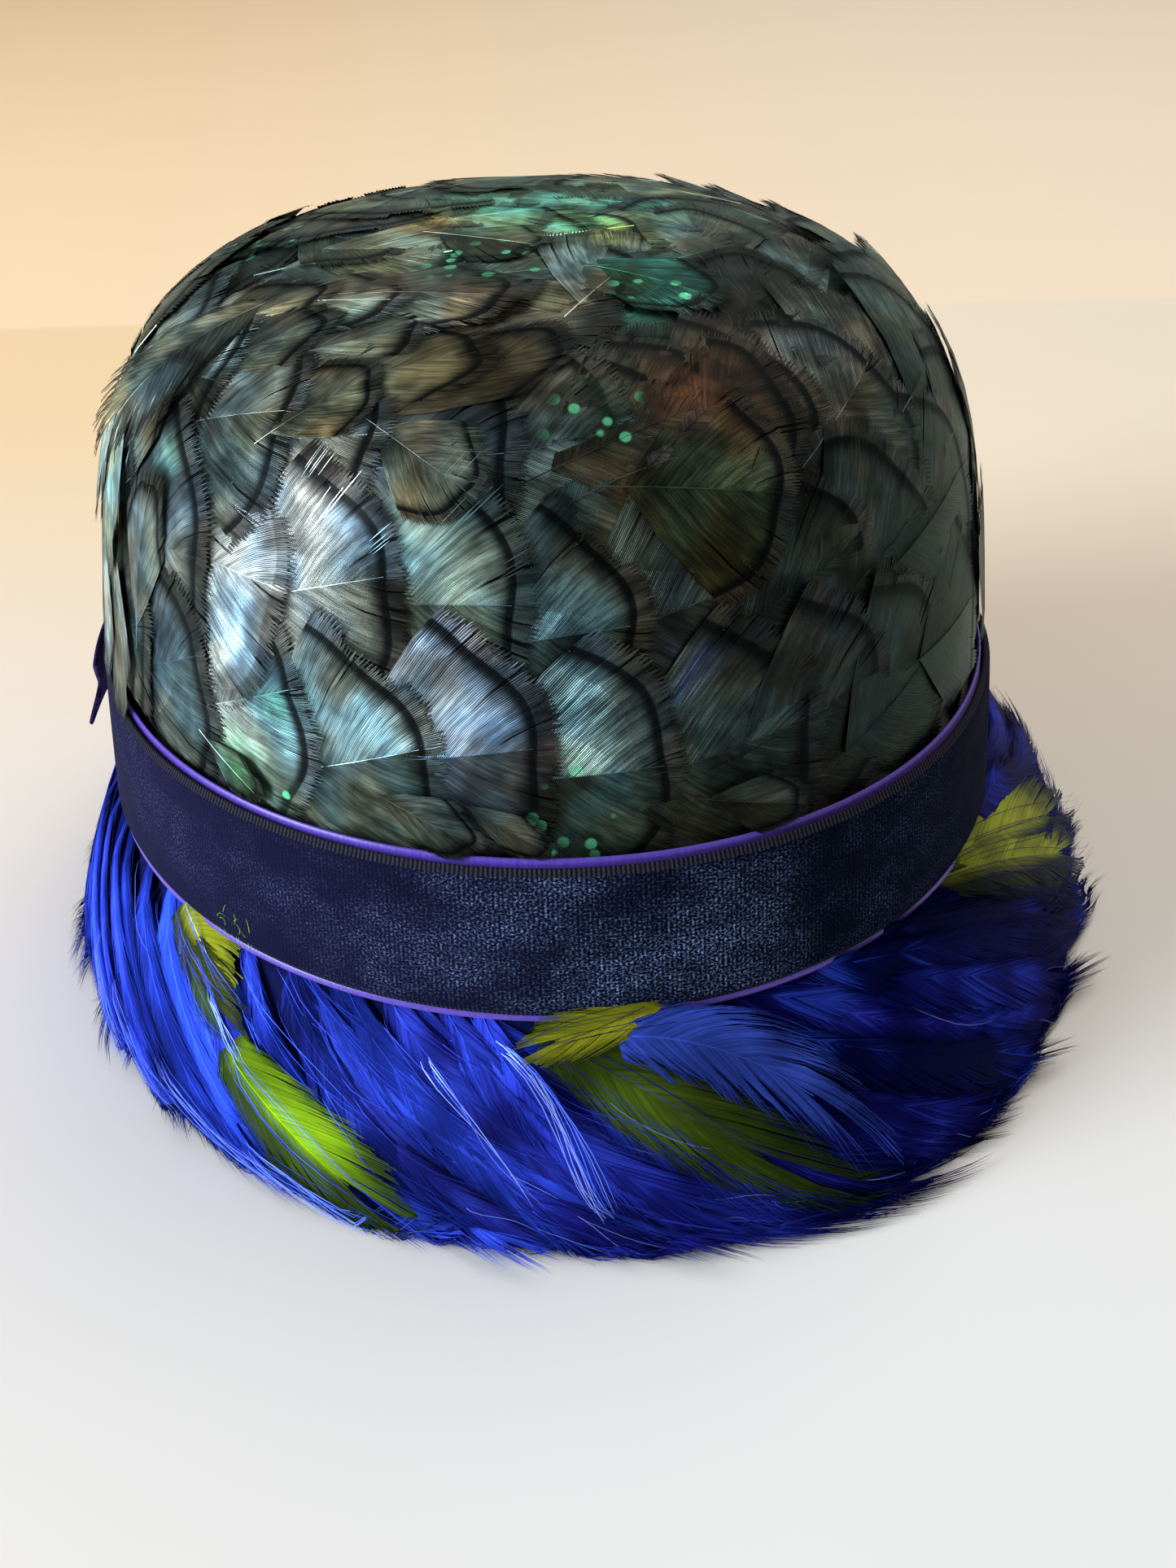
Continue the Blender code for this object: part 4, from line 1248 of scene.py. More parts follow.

# %% [markdown]
# ## Lay the plumes round the brim
#
# The plumes are azure where the light rakes over them at the left, royal blue and violet in
# front, and indigo at the right; the azure is painted light and the indigo painted shade, in
# the dye. A colour ramp round the brim could do that, but then neighbours would match. Each
# plume gets one blue of its own for its place, a little at random, so that the swirl reads as
# many feathers. The lime ones have their own dyes.

# %% Dye the plumes, with painted light and shade
ROYAL, INDIGO, AZURE = (0.012, 0.031, 0.50), (0.0006, 0.0035, 0.075), (0.034, 0.095, 0.86)
LIME, LIME_SHADE, LIME_TIP = (0.25, 0.47, 0.010), (0.07, 0.125, 0.008), (0.010, 0.028, 0.010)
OLIVE, YELLOW, PALE = (0.060, 0.078, 0.009), (0.40, 0.42, 0.015), (0.055, 0.115, 0.72)
STRAW, MOSS = (0.36, 0.41, 0.016), (0.064, 0.106, 0.008)
SHADED_TURN, LIGHT_TURN, FRONT_TURN = radians(332.0), radians(222.0), radians(284.0)


def facing(turn, middle, power=1.0):
    """1 at a turn in the middle of a part of the brim, and less to its sides."""
    return max(0.0, cos(turn - middle)) ** power


def blue_at(turn, rng):
    """A plume's blue, with painted light and shade: azure left, indigo right, dark in front."""
    # Painted light at the left, towards the window, and painted shade at the right.
    right = facing(turn, SHADED_TURN, 1.5)
    left = facing(turn, LIGHT_TURN, 2)
    light = (0.45 * rng.random() ** 1.5 + 0.42 * left) * (1.0 - right)
    dark = 0.45 * rng.random() ** 2 * (1.0 - left) + 0.85 * right * rng.uniform(0.7, 1.2)
    colour = np.array(ROYAL) + (np.array(AZURE) - np.array(ROYAL)) * light
    colour = colour + (np.array(INDIGO) - colour) * min(0.95, dark)
    front = facing(turn, FRONT_TURN, 8)
    violet = np.array((1.0 + 0.8 * rng.random() ** 2 + 0.6 * front, 1.0 - 0.30 * front, 1.0))
    return colour * violet * (1.0 - 0.50 * front) * rng.uniform(0.45, 1.3)


print("plume dyes: blue", (ROYAL, INDIGO, AZURE), "and lime", (LIME, STRAW, YELLOW))

# %% [markdown]
# Four layers of plumes go round, the lowest first, and the upper ones' roots tuck in under the
# ribbon. Each layer is a ring with disorder in every number, which is quicker than placing a
# couple of hundred plumes by hand and keeps the lower ones from lining up. The three lower
# layers are a piece of their own, so that neither piece gets too large.

# %% Lay four rings of plumes
UNDER_LAYERS = (
    # plumes, first share, width, lift in mm, headings at root and tip, brightness (painted shade on
    # the lower layers)
    (62, 0.50, 0.95, 1.2, 56.0, 80.0, 0.50),
    (56, 0.22, 1.20, 2.1, 50.0, 78.0, 0.75),
    (48, -0.02, 1.25, 2.3, 50.0, 70.0, 0.75),
)
TOP_LAYER = (60, -0.02, 1.35, 3.1, 42.0, 72.0, 1.0)
STEEP_TURN, RAISED_TURN, RAISED_EDGE = radians(335.0), radians(25.0), 0.09
LIME_ROOT = 1.1
plumage = []


def place_plume(template, spine, width, lift, colour, curl=0.0, lime=0.0, under=None, fade=0.0,
                shade=1.0, aside=0.0, upper=1.0):
    """Add one plume to the list; lift and aside are in mm, under is the lower side's colour.

    fade darkens the tip, and the root too where lime is 1.
    """
    points = lay_plume(template, spine, width, lift * MM, curl, rng.normal(0.0, 0.05), aside * MM,
                       upper)
    colours = np.tile(colour, (len(points), 1))
    if under:
        colours[template[0][:, 1] < -0.1] = under
    part = (template[0][:, 0] / PLUME_LENGTH).clip(0.0, 1.0)
    dim = shade * (1.0 - fade * ((part - 0.62) / 0.3).clip(0.0, 1.0))
    dim = dim * (1.0 - LIME_ROOT * lime * fade * (1.0 - part / 0.42).clip(0.0, 1.0))
    plumage.append((points, (*template[:3], template[3] * dim), colours, lime))


def any_of(kinds):
    """One of several templates, drawn at random."""
    return kinds[int(rng.integers(len(kinds)))]


def lay_layer(kinds, count, share, width, lift, root, tip, painted_light):
    """Lay one ring of plumes, all with a little disorder."""
    first = rng.uniform(0.0, 10.0)
    for number in range(count):
        turn = radians(first + 360.0 * (number + rng.uniform(-0.35, 0.35)) / count)
        right = 14.0 * facing(turn, STEEP_TURN)
        start = share + rng.uniform(-0.04, 0.06) * (share > 0.0)
        ways = root + right + rng.normal(0, 8.0), tip + 0.3 * right + rng.normal(0, 8.0)
        end = rng.uniform(0.97, 1.18) - RAISED_EDGE * facing(turn, RAISED_TURN)
        spine = walk_to(turn, start, ways, end)
        colour = blue_at(turn, rng) * painted_light
        place_plume(any_of(kinds), spine, width * rng.uniform(0.80, 1.20),
                    lift + rng.uniform(-0.5, 0.7), colour, rng.uniform(0.0, 0.0014),
                    upper=rng.uniform(0.35, 0.80))


for layer in UNDER_LAYERS:
    lay_layer(under_plumes, *layer)
under_plumage, plumage = plumage, []
lay_layer(top_plumes, *TOP_LAYER)
print("plumes in rings:", len(under_plumage), "below and", len(plumage), "on top")

# %% [markdown]
# The top of the brim is where the eye goes, so its plumes are placed one by one after the
# photo: tips that stick out past the edge, lime feathers with dark tips among the blue ones,
# one pale split plume in front, and indigo ones that cross the lime ones at the right. More
# random rings would be less work, but the eye knows the swirl of this hat by these few.

# %% Lay the plumes that show one by one
LIME_PLUMES = (
    # template, stops, width, lift in mm, upper and lower colour, how dark the tip is
    (0, ((220.0, -0.02), (226.0, 0.10), (234.0, 0.26)), 1.35, 3.8, STRAW, OLIVE, 0.0),
    (1, ((223.0, 0.10), (229.5, 0.26), (237.0, 0.44)), 1.15, 4.0, OLIVE, MOSS, 0.3),
    (0, ((232.0, 0.38), (240.0, 0.58), (250.0, 0.80), (262.0, 1.06)), 1.50, 4.8, LIME,
     LIME_SHADE, 0.80),
    (1, ((238.0, 0.82), (246.0, 0.91), (253.5, 0.98), (262.0, 1.05)), 0.60, 4.2, OLIVE,
     LIME_TIP, 0.6),
    (1, ((284.0, 0.00), (276.0, 0.04), (269.5, 0.10), (264.0, 0.19)), 0.80, 5.2, YELLOW,
     STRAW, 0.3),
    (0, ((266.0, 0.10), (274.0, 0.22), (286.5, 0.60), (304.0, 1.17)), 1.50, 4.0, MOSS,
     LIME_SHADE, 0.8),
    (0, ((318.0, -0.05), (334.5, 0.14), (350.0, 0.55), (364.5, 1.18)), 1.80, 4.2, STRAW,
     OLIVE, 0.8),
    (1, ((318.0, 0.00), (334.0, 0.25), (346.0, 0.65), (356.0, 1.12)), 1.70, 4.3, STRAW,
     OLIVE, 0.7),
    (0, ((319.0, 0.04), (334.0, 0.36), (342.0, 0.70), (349.0, 1.04)), 1.30, 3.9, OLIVE,
     LIME_TIP, 0.8),
)
EDGE_TIPS = (
    # turn of the root and share of the tip of the plumes that reach past the others
    (206.0, 1.13), (214.0, 1.17), (226.0, 1.12), (240.0, 1.14), (252.0, 1.10), (262.0, 1.17),
    (274.0, 1.12), (284.0, 1.17), (292.0, 1.10), (301.0, 1.15), (309.0, 1.10), (318.0, 1.16),
    (328.0, 1.12), (337.0, 1.15), (346.0, 1.11), (10.0, 1.06), (40.0, 1.04), (75.0, 1.06),
    (110.0, 1.15), (140.0, 1.11), (165.0, 1.14), (186.0, 1.12),
)
FREE_TIPS = (
    # stops, width and lift of the plumes whose tips stick out at the right and in front
    (((318.0, 0.34), (333.0, 0.66), (345.0, 1.00), (352.0, 1.30)), 0.85, 3.6),
    (((310.0, 0.46), (322.0, 0.76), (333.0, 1.06), (338.0, 1.26)), 0.75, 3.4),
    (((326.0, 0.24), (342.0, 0.56), (355.0, 0.90), (363.0, 1.26)), 0.80, 3.2),
    (((300.0, 0.50), (311.0, 0.78), (320.0, 1.04), (325.0, 1.24)), 0.70, 3.2),
    (((262.0, 0.60), (272.0, 0.86), (281.0, 1.06), (287.0, 1.24)), 0.80, 3.4),
    (((246.0, 0.62), (256.0, 0.88), (265.0, 1.08), (271.0, 1.24)), 0.80, 3.4),
)
for stops, width, lift in FREE_TIPS:
    place_plume(any_of(top_plumes), spine_through(stops), width, lift,
                blue_at(radians(stops[0][0]), rng), 0.0012)
for turn, end in EDGE_TIPS:
    ways = rng.uniform(50.0, 66.0), rng.uniform(56.0, 74.0)
    spine = walk_to(radians(turn), rng.uniform(0.55, 0.72), ways, end)
    place_plume(any_of(top_plumes), spine, rng.uniform(0.55, 0.9), rng.uniform(2.2, 3.2),
                blue_at(radians(turn), rng), 0.001)
for kind, stops, width, lift, upper, lower, fade in LIME_PLUMES:
    place_plume(blades[kind], spine_through(stops), width, lift, upper, 0.0, 1.0, lower, fade)
PALE_STOPS = ((273.0, 0.10), (281.5, 0.14), (292.5, 0.42), (300.5, 1.14))
place_plume(split_plume, spine_through(PALE_STOPS), 1.50, 5.2, PALE, 0.0, 0.0, PALE)
DARK_PLUMES = (
    # stops of the indigo plumes that cross the lime ones at the right
    ((304.0, 0.02), (318.0, 0.16), (333.0, 0.52), (345.0, 1.06)),
    ((300.0, 0.10), (314.0, 0.34), (328.0, 0.70), (339.0, 1.12)),
    ((296.0, 0.02), (310.0, 0.14), (326.0, 0.40), (341.0, 0.90)),
    ((292.0, 0.20), (304.0, 0.46), (316.0, 0.76), (328.0, 1.15)),
    ((330.0, -0.02), (344.0, 0.08), (360.0, 0.34)),
)
for stops in DARK_PLUMES:
    place_plume(top_plumes[1], spine_through(stops), 1.7, 4.4, blue_at(radians(330.0), rng),
                upper=0.35)
print("with those laid one by one:", len(plumage), "plumes on top")

# %% [markdown]
# Single barbs work loose from such plumes. They lie over the others and stand off the edge, some
# painted pale as glints, and without them the brim looks like moulded rubber. Blender's hair
# could grow them, but each is only a narrow blade along a short spine, as the plumes themselves
# are.

# %% Scatter the loose barbs
HAIRS, HAIR_SPINE, GLINT_TURN = 900, 6, radians(235.0)
for number in range(HAIRS):
    turn = rng.uniform(0.0, 2.0 * pi)
    at_edge = rng.random() < 0.5
    share = rng.uniform(0.62, 0.90) if at_edge else rng.uniform(0.0, 0.6)
    ways = rng.normal(62.0 if at_edge else 48.0, 8.0), rng.normal(74.0, 8.0)
    reach = rng.uniform(9.0, 20.0) if at_edge else rng.uniform(18.0, 42.0)
    spine = (*walk_spine(turn, share, ways, reach * MM, HAIR_SPINE)[:2], reach * MM)
    # Barbs that glint, most of them at the left towards the window, get a high shade: painted
    # glints.
    glint = rng.random() < (0.10 if cos(turn - GLINT_TURN) > 0.5 else 0.02)
    colour = blue_at(turn, rng) * (1.0 if glint else rng.uniform(0.8, 1.5))
    place_plume(hairs[number % len(hairs)], spine,
                rng.uniform(0.6, 1.1), rng.uniform(2.4, 4.0), colour,
                0.0012 * at_edge * rng.random(), shade=3.0 if glint else 1.0)

# A few blue barbs cross each lime plume.
CROSSINGS = 7
for kind, stops, width, lift, *_ in LIME_PLUMES:
    for number in range(CROSSINGS):
        moved = np.array(stops)[:4] + rng.normal(0.0, (0.8, 0.03), 2)
        place_plume(hairs[number % len(hairs)], spine_through(moved), rng.uniform(0.5, 0.9),
                    lift + rng.uniform(0.2, 0.9), blue_at(radians(stops[0][0]), rng),
                    aside=rng.uniform(-3.6, 3.6) * width, shade=rng.uniform(0.4, 1.1))

# Groups of pale barbs lie where the photo shows them; a high shade paints them lighter still as
# glints.
GLINTS = (
    # stops of groups of light barbs, how many there are, and the group's width and lift in mm
    (((262.0, 0.12), (267.0, 0.24), (270.0, 0.43), (272.5, 0.67), (274.0, 0.80)), 13, 1.5, 4.6),
    (((255.0, 0.19), (262.0, 0.45), (268.0, 0.75)), 4, 0.9, 4.6),
    (((211.0, 0.62), (220.0, 0.77), (230.0, 0.88)), 9, 2.0, 5.6),
    (((223.0, 0.73), (233.0, 0.84), (244.0, 0.94)), 10, 1.8, 5.6),
    (((237.0, 0.84), (247.0, 0.93), (258.0, 1.01)), 8, 1.6, 5.6),
    (((229.0, 0.24), (233.0, 0.35), (237.0, 0.47)), 6, 1.2, 4.8),
    (((205.0, 0.50), (212.0, 0.72), (220.0, 0.92)), 8, 3.0, 5.6),
)
for stops, count, spread, lift in GLINTS:
    for barb in range(count):
        moved = np.array(stops) + rng.normal(0.0, (0.35, 0.012), 2)
        place_plume(hairs[barb % len(hairs)], spine_through(moved), rng.uniform(0.8, 1.3),
                    lift + rng.uniform(-0.4, 0.4), PALE, shade=rng.uniform(1.6, 3.8),
                    aside=rng.uniform(-spread, spread))
print("with the loose barbs:", len(plumage), "on top")

# %% [markdown]
# A few short lime wisps curl up over the velvet at the left. They leave the brim, so a spine
# walked over the felt can't carry them, and theirs are drawn on the band instead.

# %% Curl the lime wisps over the velvet
WISPS, WISP_TURN, WISP_STEP = 9, 227.5, 0.75
rise = np.linspace(0.0, 1.0, 7)
for number in range(WISPS):
    turn = np.radians(WISP_TURN + WISP_STEP * number) + rise ** 2 * rng.uniform(-0.03, 0.05)
    z = BAND_FOOT_Z - MM + rng.uniform(0.004, 0.0085) * np.sin(0.5 * pi * rise)
    centres = head_point(turn, band_radius(z) + 0.0006 + 0.0008 * rise, z)
    ahead = unit(np.gradient(centres, axis=0))
    out = unit((centres - HEAD_CENTRE) * np.array((1.0, 1.0, 0.0)))
    reach = np.linalg.norm(np.diff(centres, axis=0), axis=1).sum()
    points = hairs[number][0] * np.array((reach / (PLUME_LENGTH * PLUME_TIP), 0.7 * MM, MM))
    ways = np.stack((ahead, np.cross(out, ahead), out), axis=1)
    plumage.append((lay_on_spine(points, centres, ways, reach), hairs[number],
                    np.tile(LIME, (len(points), 1)), 1.0))
print("on the brim with the wisps:", len(under_plumage), "below and", len(plumage), "on top")

# %% [markdown]
# The dyed barbs shine softly along their length. A hair shader would do that by itself, but it
# can't be baked into plain maps. So the dye, which also holds painted light and shade, comes
# from the mesh, and noise that is stretched along the barbs breaks it into lighter and darker
# streaks. The brightest streaks are painted azure as highlights, and the glint barbs pale as
# painted glints. The lime feathers keep flatter colours and end in a dark tip.


# %% Finish the plumes
def plume_finish():
    """Streaked dyed barbs, painted azure highlights and pale glints, and near-black lime tips."""
    from_edge, barb = vane_map()
    dye_and_light, shade = attribute("dye_and_light"), attribute("dye_and_light", out=3)
    fine, wide = vane_noise(1.0, 0.40), vane_noise(0.7, 0.10, 2.0)
    cloud = noise(42.0, 2.0)
    line = barb_line(barb)
    lime = attribute("spots", out=2)
    tone = shade * (0.72 + 0.44 * wide) * (0.74 + 0.50 * fine)
    tone = tone * (0.45 + 1.0 * cloud.step(0.32, 0.68)) * (0.90 + 0.20 * line)
    tone = tone + (shade * 0.9 - tone) * (lime * 0.25)
    body = scaled(dye_and_light, tone)
    # The brightest streaks are painted azure: painted highlights.
    painted_light = tone.step(0.85, 1.6) * 0.4 * (1.0 - lime)
    body = mix(painted_light, body, (0.045, 0.11, 0.88))
    patch = (1.0 - from_edge.step(2.0, 9.0)) * wide * lime
    body = mix(patch * 0.75, body, LIME_TIP)
    # A high shade paints the glint barbs pale: painted glints.
    body = mix(shade.step(2.2, 4.2) * 0.9, body, (0.42, 0.52, 0.85))
    return {"Base Color": body, "Roughness": 0.32 + 0.2 * cloud,
            "Normal": bump(line * 0.3 + fine * 0.4 + wide * 0.3, 0.0003, 0.6)}


blue_plume = new_look("blue_plume", plume_finish, Specular_IOR_Level=0.07, Metallic=0.5,
                      Specular_Tint=(0.12, 0.22, 1.0, 1.0))
for name, feathers in (("brim_plume_layers", under_plumage), ("brim_top_plumes", plumage)):
    dress(feather_mesh(name, feathers), "brim_plumes", blue_plume)
print("both pieces of plumes have the finish in", len(blue_plume.node_tree.nodes), "nodes")

# %% [markdown]
# ## The backing of the plumes
#
# The plumes are sewn to a strip of dark net over the felt. It only shows between them, and its
# dark blue is painted shade for the depth there. A ring of edges is extruded down the brim, and
# each ring is then set on the felt.

# %% Extrude the backing down the brim
BACKING_COLUMNS, BACKING_ROWS = 144, 9
BACKING_REACH, BACKING_STAND_OFF, BACKING_THICKNESS = 1.01, 0.00095, 0.0004
MERGE = 0.000005


def ring_tube(name, columns, rows):
    """A tube of edge loops by extruding a circle: its vertices go ring by ring."""
    bpy.ops.mesh.primitive_circle_add(vertices=columns, radius=BRIM_HEAD_RADIUS)
    made = bpy.context.active_object
    made.name = made.data.name = name
    bpy.ops.object.mode_set(mode="EDIT")
    for _ in range(rows):
        bpy.ops.mesh.extrude_region_move(TRANSFORM_OT_translate={"value": (0.0, 0.0, -MM)})
    bpy.ops.object.mode_set(mode="OBJECT")
    place = np.array([v.co for v in made.data.vertices])
    ring = np.rint(-place[:, 2] / MM).astype(int)
    turn = np.arctan2(place[:, 1], place[:, 0])
    return made, ring, turn


def set_places(thing, places):
    """Move every vertex of an object to its place."""
    thing.data.vertices.foreach_set("co", places.astype(np.float32).ravel())
    thing.data.update()


def thicken(thing, thickness, offset):
    """Give an open surface a back with Solidify."""
    back = thing.modifiers.new("thickness", "SOLIDIFY")
    back.thickness, back.offset = thickness, offset


def close_up(thing):
    """Apply an object's modifiers as by hand, and turn its faces outward and smooth."""
    bpy.ops.object.select_all(action="DESELECT")
    thing.select_set(True)
    bpy.context.view_layer.objects.active = thing
    for modifier in list(thing.modifiers):
        bpy.ops.object.modifier_apply(modifier=modifier.name)
    bpy.ops.object.mode_set(mode="EDIT")
    bpy.ops.mesh.select_all(action="SELECT")
    bpy.ops.mesh.remove_doubles(threshold=MERGE)
    bpy.ops.mesh.normals_make_consistent(inside=False)
    bpy.ops.object.mode_set(mode="OBJECT")
    thing.data.shade_smooth()


backing, ring, turn = ring_tube("plume_backing", BACKING_COLUMNS, BACKING_ROWS)
share = ring / BACKING_ROWS * BACKING_REACH
set_places(backing, brim_point(turn, share) + level_way(turn) * BACKING_STAND_OFF)
thicken(backing, BACKING_THICKNESS, 0.0)
close_up(backing)


def backing_finish():
    """Dark net: threads of two blues."""
    fibre = noise(900.0, 3.0, stretch=(1.0, 1.0, 0.25))
    colour = mix(fibre, (0.001, 0.002, 0.02), (0.004, 0.008, 0.09))
    return {"Base Color": colour, "Normal": bump(fibre, 0.0003, 0.6)}


dark_net = new_look("plume_backing", backing_finish, Roughness=0.8, Specular_IOR_Level=0.05)
dress(backing, "brim_plumes", dark_net)
print("backing:", len(backing.data.polygons), "faces")

# %% [markdown]
# ## Velvet band
#
# The band is a strip of narrow velvet ribbon. Its pile stands about half a millimetre off the
# woven ground and stops at a thin selvage along each edge. The pile leans this way and that,
# so it shows soft lighter and darker patches, most of them in front. A circle is extruded into
# a tube, each ring is set to its own radius and height, and Solidify gives it a back.

# %% Extrude the velvet band
BAND_COLUMNS, VELVET_WIDTH = 360, 0.0284
VELVET_ROWS = (
    # height above the foot in mm, and how far the surface stands off the ground in mm
    (28.4, -0.10), (28.15, 0.10), (27.75, 0.12), (27.55, 0.42), (27.0, 0.62), (22.0, 0.66),
    (14.2, 0.68), (6.4, 0.66), (1.4, 0.62), (0.85, 0.42), (0.65, 0.12), (0.25, 0.10), (0.0, -0.10),
)


def band_strip(name, rows, columns, outset, thickness, wave=0.0):
    """A strip round the head: rows give height above the band's foot and stand-off."""
    made, ring, turn = ring_tube(name, columns, len(rows) - 1)
    table = np.array(rows) * MM
    z = BAND_FOOT_Z + table[ring, 0]
    ripple = wave * (np.sin(7.0 * turn + 1.3) + 0.6 * np.sin(17.0 * turn + 90.0 * z))
    radius = band_radius(z) - outset + table[ring, 1] + ripple
    set_places(made, head_point(turn, radius, z))
    thicken(made, thickness, -1.0)
    close_up(made)
    return made


def around_head(z):
    """How far it is round the band at one height, in metres."""
    ring = head_point(np.linspace(0.0, 2.0 * pi, 361), band_radius(z), z)
    return float(np.linalg.norm(np.diff(ring, axis=0), axis=1).sum())


velvet = band_strip("velvet_ribbon_band", VELVET_ROWS, BAND_COLUMNS, 0.0004, 0.0008, 0.00005)
BAND_LENGTH = around_head(0.5 * (BAND_FOOT_Z + BAND_HEAD_Z))
print("velvet:", len(velvet.data.polygons), "faces")

# %% [markdown]
# Pile drinks light, and shows it only where it leans towards the eye. So the colour is nearly
# black, and a bluer one comes through in fine tufts as painted sheen, more of them where a cloud
# of noise says that the pile leans, with a painted highlight near the middle of the front. At
# the left the velvet is painted lighter and more violet as sheen, and at the right its tufts
# are painted darker as shade.

# %% Finish the velvet
VELVET_RIBS, TUFTS_ROUND, TUFTS_UP = 760.0, 190.0, 2500.0


def velvet_finish():
    """Tufts of painted sheen in ribs and lean patches, and a grey selvage near both edges."""
    place = Wire.node("ShaderNodeSeparateXYZ", None, {0: object_place()}).socket.node
    x, y, z = (Wire(place.outputs[axis]) for axis in range(3))
    turn = (y - HEAD_CENTRE[1]).maths("ARCTAN2", x - HEAD_CENTRE[0])
    rib = (turn * VELVET_RIBS).maths("SINE") * 0.5 + 0.5
    cells = {0: turn * TUFTS_ROUND, 1: z * TUFTS_UP}
    tuft = noise(1.0, 2.0, Wire.node("ShaderNodeCombineXYZ", None, cells)).step(0.44, 0.74)
    lean = noise(34.0, 4.0, stretch=(1.0, 1.0, 1.8)).step(0.36, 0.66)
    cloud = noise(150.0, 2.0, stretch=(1.0, 1.0, 1.5)).step(0.34, 0.66)
    # Painted light: a violet sheen at the left, a highlight in the middle of the front, and shade
    # over the tufts at the right.
    left = 1.0 - x.step(-0.09, 0.03)
    right = x.step(0.03, 0.09)
    middle = x.within(-0.034, 0.036, 0.024)
    deep = mix(left, (0.0013, 0.0022, 0.0095), (0.0074, 0.0066, 0.028))
    lit = mix(left, (0.240, 0.360, 0.700), (0.165, 0.200, 0.420))
    pile = tuft * (0.10 + 0.90 * lean) * (0.40 + 0.60 * cloud) * (0.30 + 0.70 * rib)
    pile = pile * (1.0 - 0.8 * right) * (0.50 + 1.00 * middle)
    body = mix(pile, deep, lit)
    edge = 1.0 - z.within(BAND_FOOT_Z + 0.00070, BAND_HEAD_Z - 0.00080, 0.0001)
    body = mix(edge, body, mix(rib, (0.004, 0.004, 0.008), (0.036, 0.036, 0.052)))
    relief = tuft * 0.5 + rib * 0.2 + cloud * 0.3
    return {"Base Color": body, "Roughness": 0.75 + 0.15 * lean,
            "Normal": bump(relief, 0.0003, 0.8)}


navy_velvet = new_look(
    "navy_velvet", velvet_finish, Sheen_Weight=0.05, Sheen_Roughness=0.30,
    Sheen_Tint=(0.10, 0.18, 0.50, 1.0), Specular_IOR_Level=0.03,
    Specular_Tint=(0.2, 0.5, 1.0, 1.0),
)
dress(velvet, "velvet_band", navy_velvet)
print("velvet, cut flat:", VELVET_WIDTH, "by", round(BAND_LENGTH, 4), "m")

# %% [markdown]
# ## Violet ribbon
#
# A satin ribbon, wider than the velvet, shows as a bright line above and below it. Its edges
# are picot: rows of tiny loops of thread. The ribbon is one more strip. One loop is spun as a
# small half ring and copied round both edges as arrays of points, all in one mesh.

# %% Extrude the ribbon and set its picot loops
RIBBON_ROWS = (
    # height above the velvet's foot in mm, and stand-off in mm
    (29.5, -0.12), (29.45, 0.0), (29.1, 0.03), (28.7, 0.02), (28.0, 0.0), (14.0, 0.0),
    (2.0, 0.0), (0.2, 0.8), (-0.4, 1.25), (-0.9, 1.45), (-1.1, 1.35), (-1.2, 1.1),
)
PICOT_LOOPS = 740
PICOT_REACH, PICOT_THREAD = 0.00036, 0.00011
PICOT_SEGMENTS, PICOT_SIDES = 6, 4
PICOT_EDGES = (
    # height of the edge, how far inside the band's cone, and which way the loops stand
    (RIBBON_TOP_Z - 0.0001, 0.0015, 1.0),
    (RIBBON_FOOT_Z - 0.0001, 0.0002, -1.0),
)


def picot_loop():
    """Half a ring of thread, spun from a small square, in metres."""
    bpy.ops.mesh.primitive_circle_add(vertices=PICOT_SIDES, radius=PICOT_THREAD)
    loop = bpy.context.active_object
    bpy.ops.object.mode_set(mode="EDIT")
    bpy.ops.mesh.select_all(action="SELECT")
    bpy.ops.transform.translate(value=(PICOT_REACH, 0.0, 0.0))
    bpy.ops.transform.rotate(value=0.5 * pi, orient_axis="X", center_override=(0.0, 0.0, 0.0))
    bpy.ops.mesh.spin(steps=PICOT_SEGMENTS, angle=pi, center=(0.0, 0.0, 0.0), axis=(0.0, 0.0, 1.0))
    bpy.ops.object.mode_set(mode="OBJECT")
    points = np.array([v.co for v in loop.data.vertices])
    faces = np.array([p.vertices[:] for p in loop.data.polygons if len(p.vertices) == 4])
    bpy.data.objects.remove(loop, do_unlink=True)
    return points, faces


ribbon = band_strip("violet_picot_ribbon", RIBBON_ROWS, BAND_COLUMNS, 0.0013, 0.0004)
loop_points, loop_faces = picot_loop()
picot_points, picot_faces = [], []
for edge_z, inside, way in PICOT_EDGES:
    radius = band_radius(edge_z) - inside
    for number in range(PICOT_LOOPS):
        turn = 2.0 * pi * number / PICOT_LOOPS
        centre = head_point(turn, radius, edge_z)
        around = unit(head_point(turn + NUDGE, radius, edge_z) - centre)
        outward = np.cross(around, UP)
        picot_faces.append(loop_faces + len(loop_points) * len(picot_points))
        picot_points.append(centre + loop_points[:, :1] * around
                            + way * loop_points[:, 1:2] * UP + loop_points[:, 2:] * outward)
picot_mesh = bpy.data.meshes.new("picot_edges")
picot_points, picot_faces = np.concatenate(picot_points), np.concatenate(picot_faces)
picot_mesh.from_pydata(picot_points.tolist(), [], picot_faces.tolist())
picot_mesh.shade_smooth()
picot = add_object("picot_edges", picot_mesh)
print("picot loops:", 2 * PICOT_LOOPS, "with", len(picot_faces), "faces")

# %% [markdown]
# Satin is smooth along its threads and rough across them. Anisotropic gloss could show that,
# but at a few pixels' height two violets in fine streaks, a clear highlight and a little sheen
# look the same.


# %% Finish the ribbon
def satin_finish():
    """Fine threads across the ribbon in two violets."""
    weft = noise(1500.0, 1.0, stretch=(1.0, 1.0, 0.08))
    cloud = noise(70.0)
    body = mix(weft, (0.055, 0.026, 0.30), (0.115, 0.060, 0.52))
    return {"Base Color": body, "Roughness": 0.30 + 0.15 * cloud,
            "Normal": bump(weft, 0.0001, 0.5)}


